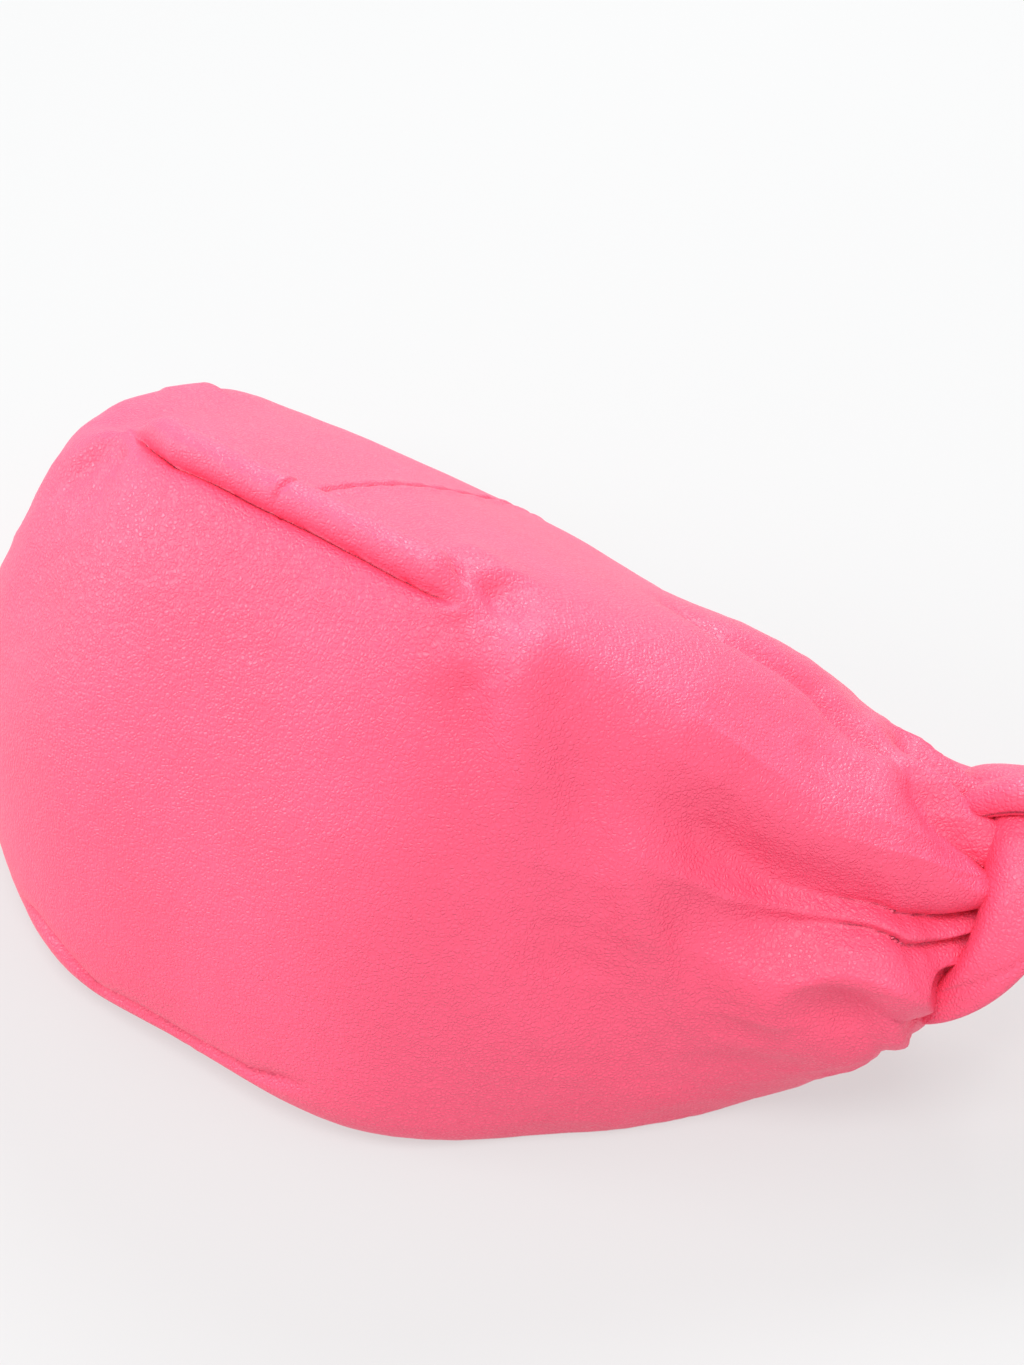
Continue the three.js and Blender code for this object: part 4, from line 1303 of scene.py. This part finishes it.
# The route of the rolled edge over the top of the right wrap, from the neck down into the turn.
BAND_ROUTE = [
    (118, 115, 64), (121, 118, 68), (126, 121, 73), (133, 125, 76), (141, 131, 73), (147, 138, 64),
    (149, 142, 51),
]


def along_neck(points, heading, tilt, middle):
    """Lays points round Z over onto a neck's heading, tilted in the upright plane of that heading."""
    tip = math.pi / 2 + math.radians(tilt)
    x = points[..., 0] * math.cos(tip) + points[..., 2] * math.sin(tip)
    z = -points[..., 0] * math.sin(tip) + points[..., 2] * math.cos(tip)
    turn = math.radians(heading)
    return np.stack([
        x * math.cos(turn) - points[..., 1] * math.sin(turn) + middle[0],
        x * math.sin(turn) + points[..., 1] * math.cos(turn) + middle[1] - REST_Y,
        z + middle[2],
    ], -1)


def crease_at(turned, half):
    """1 at an angle of zero, fading over a half width on each side of it."""
    return np.exp(-np.abs(np.angle(np.exp(1j * turned))) / half)


def ring_mesh(radial, axial, steps, sides):
    """Points and faces of a ring round Z. radial and axial give its section at (turn, angle), in mm."""
    turn, angle = np.meshgrid(
        np.linspace(0, 2 * np.pi, steps, endpoint=False), np.linspace(0, 2 * np.pi, sides, endpoint=False),
        indexing="ij",
    )
    reach = radial(turn, angle)
    points = np.stack([reach * np.cos(turn), reach * np.sin(turn), axial(turn, angle)], -1)
    number = np.arange(steps * sides).reshape(steps, sides)
    ahead = np.roll(number, -1, 0)
    beside = np.roll(number, -1, 1)
    faces = np.stack([number, ahead, np.roll(ahead, -1, 1), beside], -1).reshape(-1, 4).tolist()
    return points, faces


class BAG_OT_knots(bpy.types.Operator):
    """Builds the wraps and turns of both knots as soft rolled leather"""

    bl_idname = "bag.knots"
    bl_label = "Knots"

    def execute(self, context):
        for side, knot in (("right", RIGHT_KNOT), ("left", LEFT_KNOT)):
            self.wrap(side, knot)
            self.turn(side, knot)
        self.band()
        return {"FINISHED"}

    def wrap(self, side, knot):
        """The wide wrap, a fat oval of leather swept round the neck."""
        thick = (knot["outer"] - knot["inner"]) / 2
        half = knot["width"] / 2

        def low(turn):
            """1 where the wrap passes under the neck, and 0 over it."""
            return 0.5 + 0.5 * np.cos(turn + WRAP_LOW)

        def radial(turn, angle):
            crease = 0
            for place, lean, deep in WRAP_CREASES:
                across = crease_at(turn - place - lean * np.sin(angle), WRAP_CREASE_HALF)
                crease = crease - deep * across * (np.cos(angle) > -0.2)
            lumps = 0.7 * np.sin(2 * turn + 0.6) * np.cos(angle)
            folded = 0.5 * np.cos(3 * angle + turn)
            bulge = np.sign(np.cos(angle)) * np.abs(np.cos(angle)) ** 0.8
            thin = thick * (1 - 0.5 * knot["narrows"] * low(turn))
            lumps = lumps + knot["flare"] * np.sin(angle) * (1 - 0.6 * low(turn))
            return knot["outer"] - thin + thin * bulge + crease + lumps + folded

        def axial(turn, angle):
            wide = half * (1 - 0.8 * knot["narrows"] * low(turn) + 0.04 * np.sin(3 * turn))
            return wide * np.sin(angle) + wide - half

        points, faces = ring_mesh(radial, axial, 220, 56)
        placed = along_neck(points, knot["heading"], knot["tilt"], knot["middle"])
        piece = new_mesh(side + "_wrap_roll", placed, faces)
        finished(piece, "bag", "outer_leather", looks()["leather"], side + "_knot_wrap")

    def band(self):
        """The rolled edge of the handle's leather that crosses the top of the right knot."""
        line = centripetal(BAND_ROUTE, BAND_STEPS) - np.array([0, REST_Y, 0])

        def reach(share, angle):
            swell = 2.4 + 2.9 * soft_step(share, 0, 0.5) + 1.2 * soft_step(share, 0.5, 1)
            pleat = -0.8 * crease_at(angle - 0.9 - 0.8 * share, 0.12)
            return swell * (1 + 0.12 * np.cos(2 * angle + 3 * share)) + pleat

        piece = tube_mesh("right_band_roll", line, reach, 40)
        finished(piece, "bag", "outer_leather", looks()["roll"], "right_knot_wrap")

    def turn(self, side, knot):
        """The rolled turn at the knot's outer end."""
        tube = knot["tube"] - TURN_INSET

        def radial(turn, angle):
            crease = 0
            for k in range(TURN_CREASES):
                leaned = turn - TURN_CREASE_STEP * k - 0.6 * np.sin(angle + k)
                crease = crease - 0.9 * crease_at(leaned, TURN_CREASE_HALF)
            swell = 0.4 * np.sin(3 * turn + angle)
            return knot["ring"] + (tube + crease + swell) * np.cos(angle)

        def axial(turn, angle):
            return tube * np.sin(angle) * (1 + 0.04 * np.sin(2 * turn))

        points, faces = ring_mesh(radial, axial, 160, 48)
        placed = along_neck(points, knot["heading"], 0, knot["turn"])
        piece = new_mesh(side + "_turn_roll", placed, faces)
        finished(piece, "bag", "outer_leather", looks()["leather"], side + "_knot_turn")


# ---------------------------------------------------------------- handle
# The handle's route from inside the right turn, round beyond the mouth, to inside the left turn.
HANDLE_ROUTE = [
    (149, 143, 40), (157, 147, 29), (167, 153, 19), (179, 158, 15), (184, 170, 12),
    (173, 181, 11), (145, 184, 11), (112, 181, 11),
    (60, 174, 11), (0, 171, 11), (-60, 174, 11), (-110, 178, 11), (-136, 175, 11),
    (-148, 172, 11), (-159, 168, 12), (-162, 160, 15), (-156, 153, 18), (-149, 147, 20), (-142, 142, 21),
]
ROUTE_STEPS = 28  # points between two entries of the route
CORE_RADIUS = 7.0
CORE_INSET = 3 * ROUTE_STEPS  # points of the route left bare at each end of the core
BEND = (147, 157)  # the handle bends between these distances from the base, at the knots
BEND_HEIGHT = 0.018
HANDLE_SEAM = 2.2  # the angle round the handle at which its seam runs


class BAG_OT_handle(bpy.types.Operator):
    """Builds the handle's leather tube, which bends where it leaves the knots, and its core"""

    bl_idname = "bag.handle"
    bl_label = "Handle"

    def execute(self, context):
        radius = context.scene.bag_sizes.handle_radius / MM
        line = centripetal(HANDLE_ROUTE, ROUTE_STEPS) - np.array([0, REST_Y, 0])
        whole = lengths(line)[-1]

        def reach(share, angle):
            place = share * whole
            seam = -0.7 * np.exp(-((np.angle(np.exp(1j * (angle - HANDLE_SEAM))) / 0.09) ** 2))
            wrinkle = 0.22 * noise(place / 5, 3 * np.cos(angle) + 5, SEED + 7)
            slack = 0.18 * noise(place / 17, 2 * np.sin(angle) + 9, SEED + 8)
            ends = 1 - 0.25 * (np.exp(-place / 4) + np.exp(-(whole - place) / 4))
            return (radius - 0.25 + wrinkle + slack + seam) * ends

        tube = tube_mesh("handle_roll", line, reach, 56)
        low, high = ((0, (y - REST_Y) * MM, BEND_HEIGHT) for y in BEND)
        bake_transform(tube, "bag", "handle", low, high)
        finished(tube, "handle", "outer_leather", looks()["roll"], "handle")

        def pressed(share, angle):
            return CORE_RADIUS - 0.3 + 0.15 * noise(share * whole / 4, 3 * np.cos(angle) + 5, SEED + 9)

        core = tube_mesh("felt_core", line[CORE_INSET:-CORE_INSET], pressed, 24)
        finished(core, "handle", "core_foam", looks()["felt"], "handle_core")
        return {"FINISHED"}


class BAG_PT_sidebar(bpy.types.Panel):
    """Lists the sizes, the colours and a button for each group of pieces"""

    bl_idname = "BAG_PT_sidebar"
    bl_label = "Knotted pouch bag"
    bl_space_type = "VIEW_3D"
    bl_region_type = "UI"
    bl_category = "Bag"

    def draw(self, context):
        for settings in (context.scene.bag_sizes, context.scene.bag_colours, context.scene.bag_stage):
            for name in settings.__annotations__:
                self.layout.prop(settings, name)
        for operator in OPERATORS:
            self.layout.operator(operator.bl_idname)


OPERATORS = (
    BAG_OT_stage, BAG_OT_leather, BAG_OT_inside, BAG_OT_pocket, BAG_OT_hardware, BAG_OT_knots,
    BAG_OT_handle,
)
SETTINGS = (("bag_sizes", BagSizes), ("bag_colours", BagColours), ("bag_stage", StageSettings))


def register():
    for name, kind in SETTINGS:
        bpy.utils.register_class(kind)
        setattr(bpy.types.Scene, name, bpy.props.PointerProperty(type=kind))
    for kind in (*OPERATORS, BAG_PT_sidebar):
        bpy.utils.register_class(kind)


def unregister():
    for kind in (BAG_PT_sidebar, *reversed(OPERATORS)):
        bpy.utils.unregister_class(kind)
    for name, kind in reversed(SETTINGS):
        delattr(bpy.types.Scene, name)
        bpy.utils.unregister_class(kind)


def main():
    """Builds the whole bag and its stage."""
    register()
    bpy.ops.bag.stage()
    bpy.ops.bag.leather()
    bpy.ops.bag.inside()
    bpy.ops.bag.pocket()
    bpy.ops.bag.hardware()
    bpy.ops.bag.knots()
    bpy.ops.bag.handle()


if __name__ == "__main__":
    main()
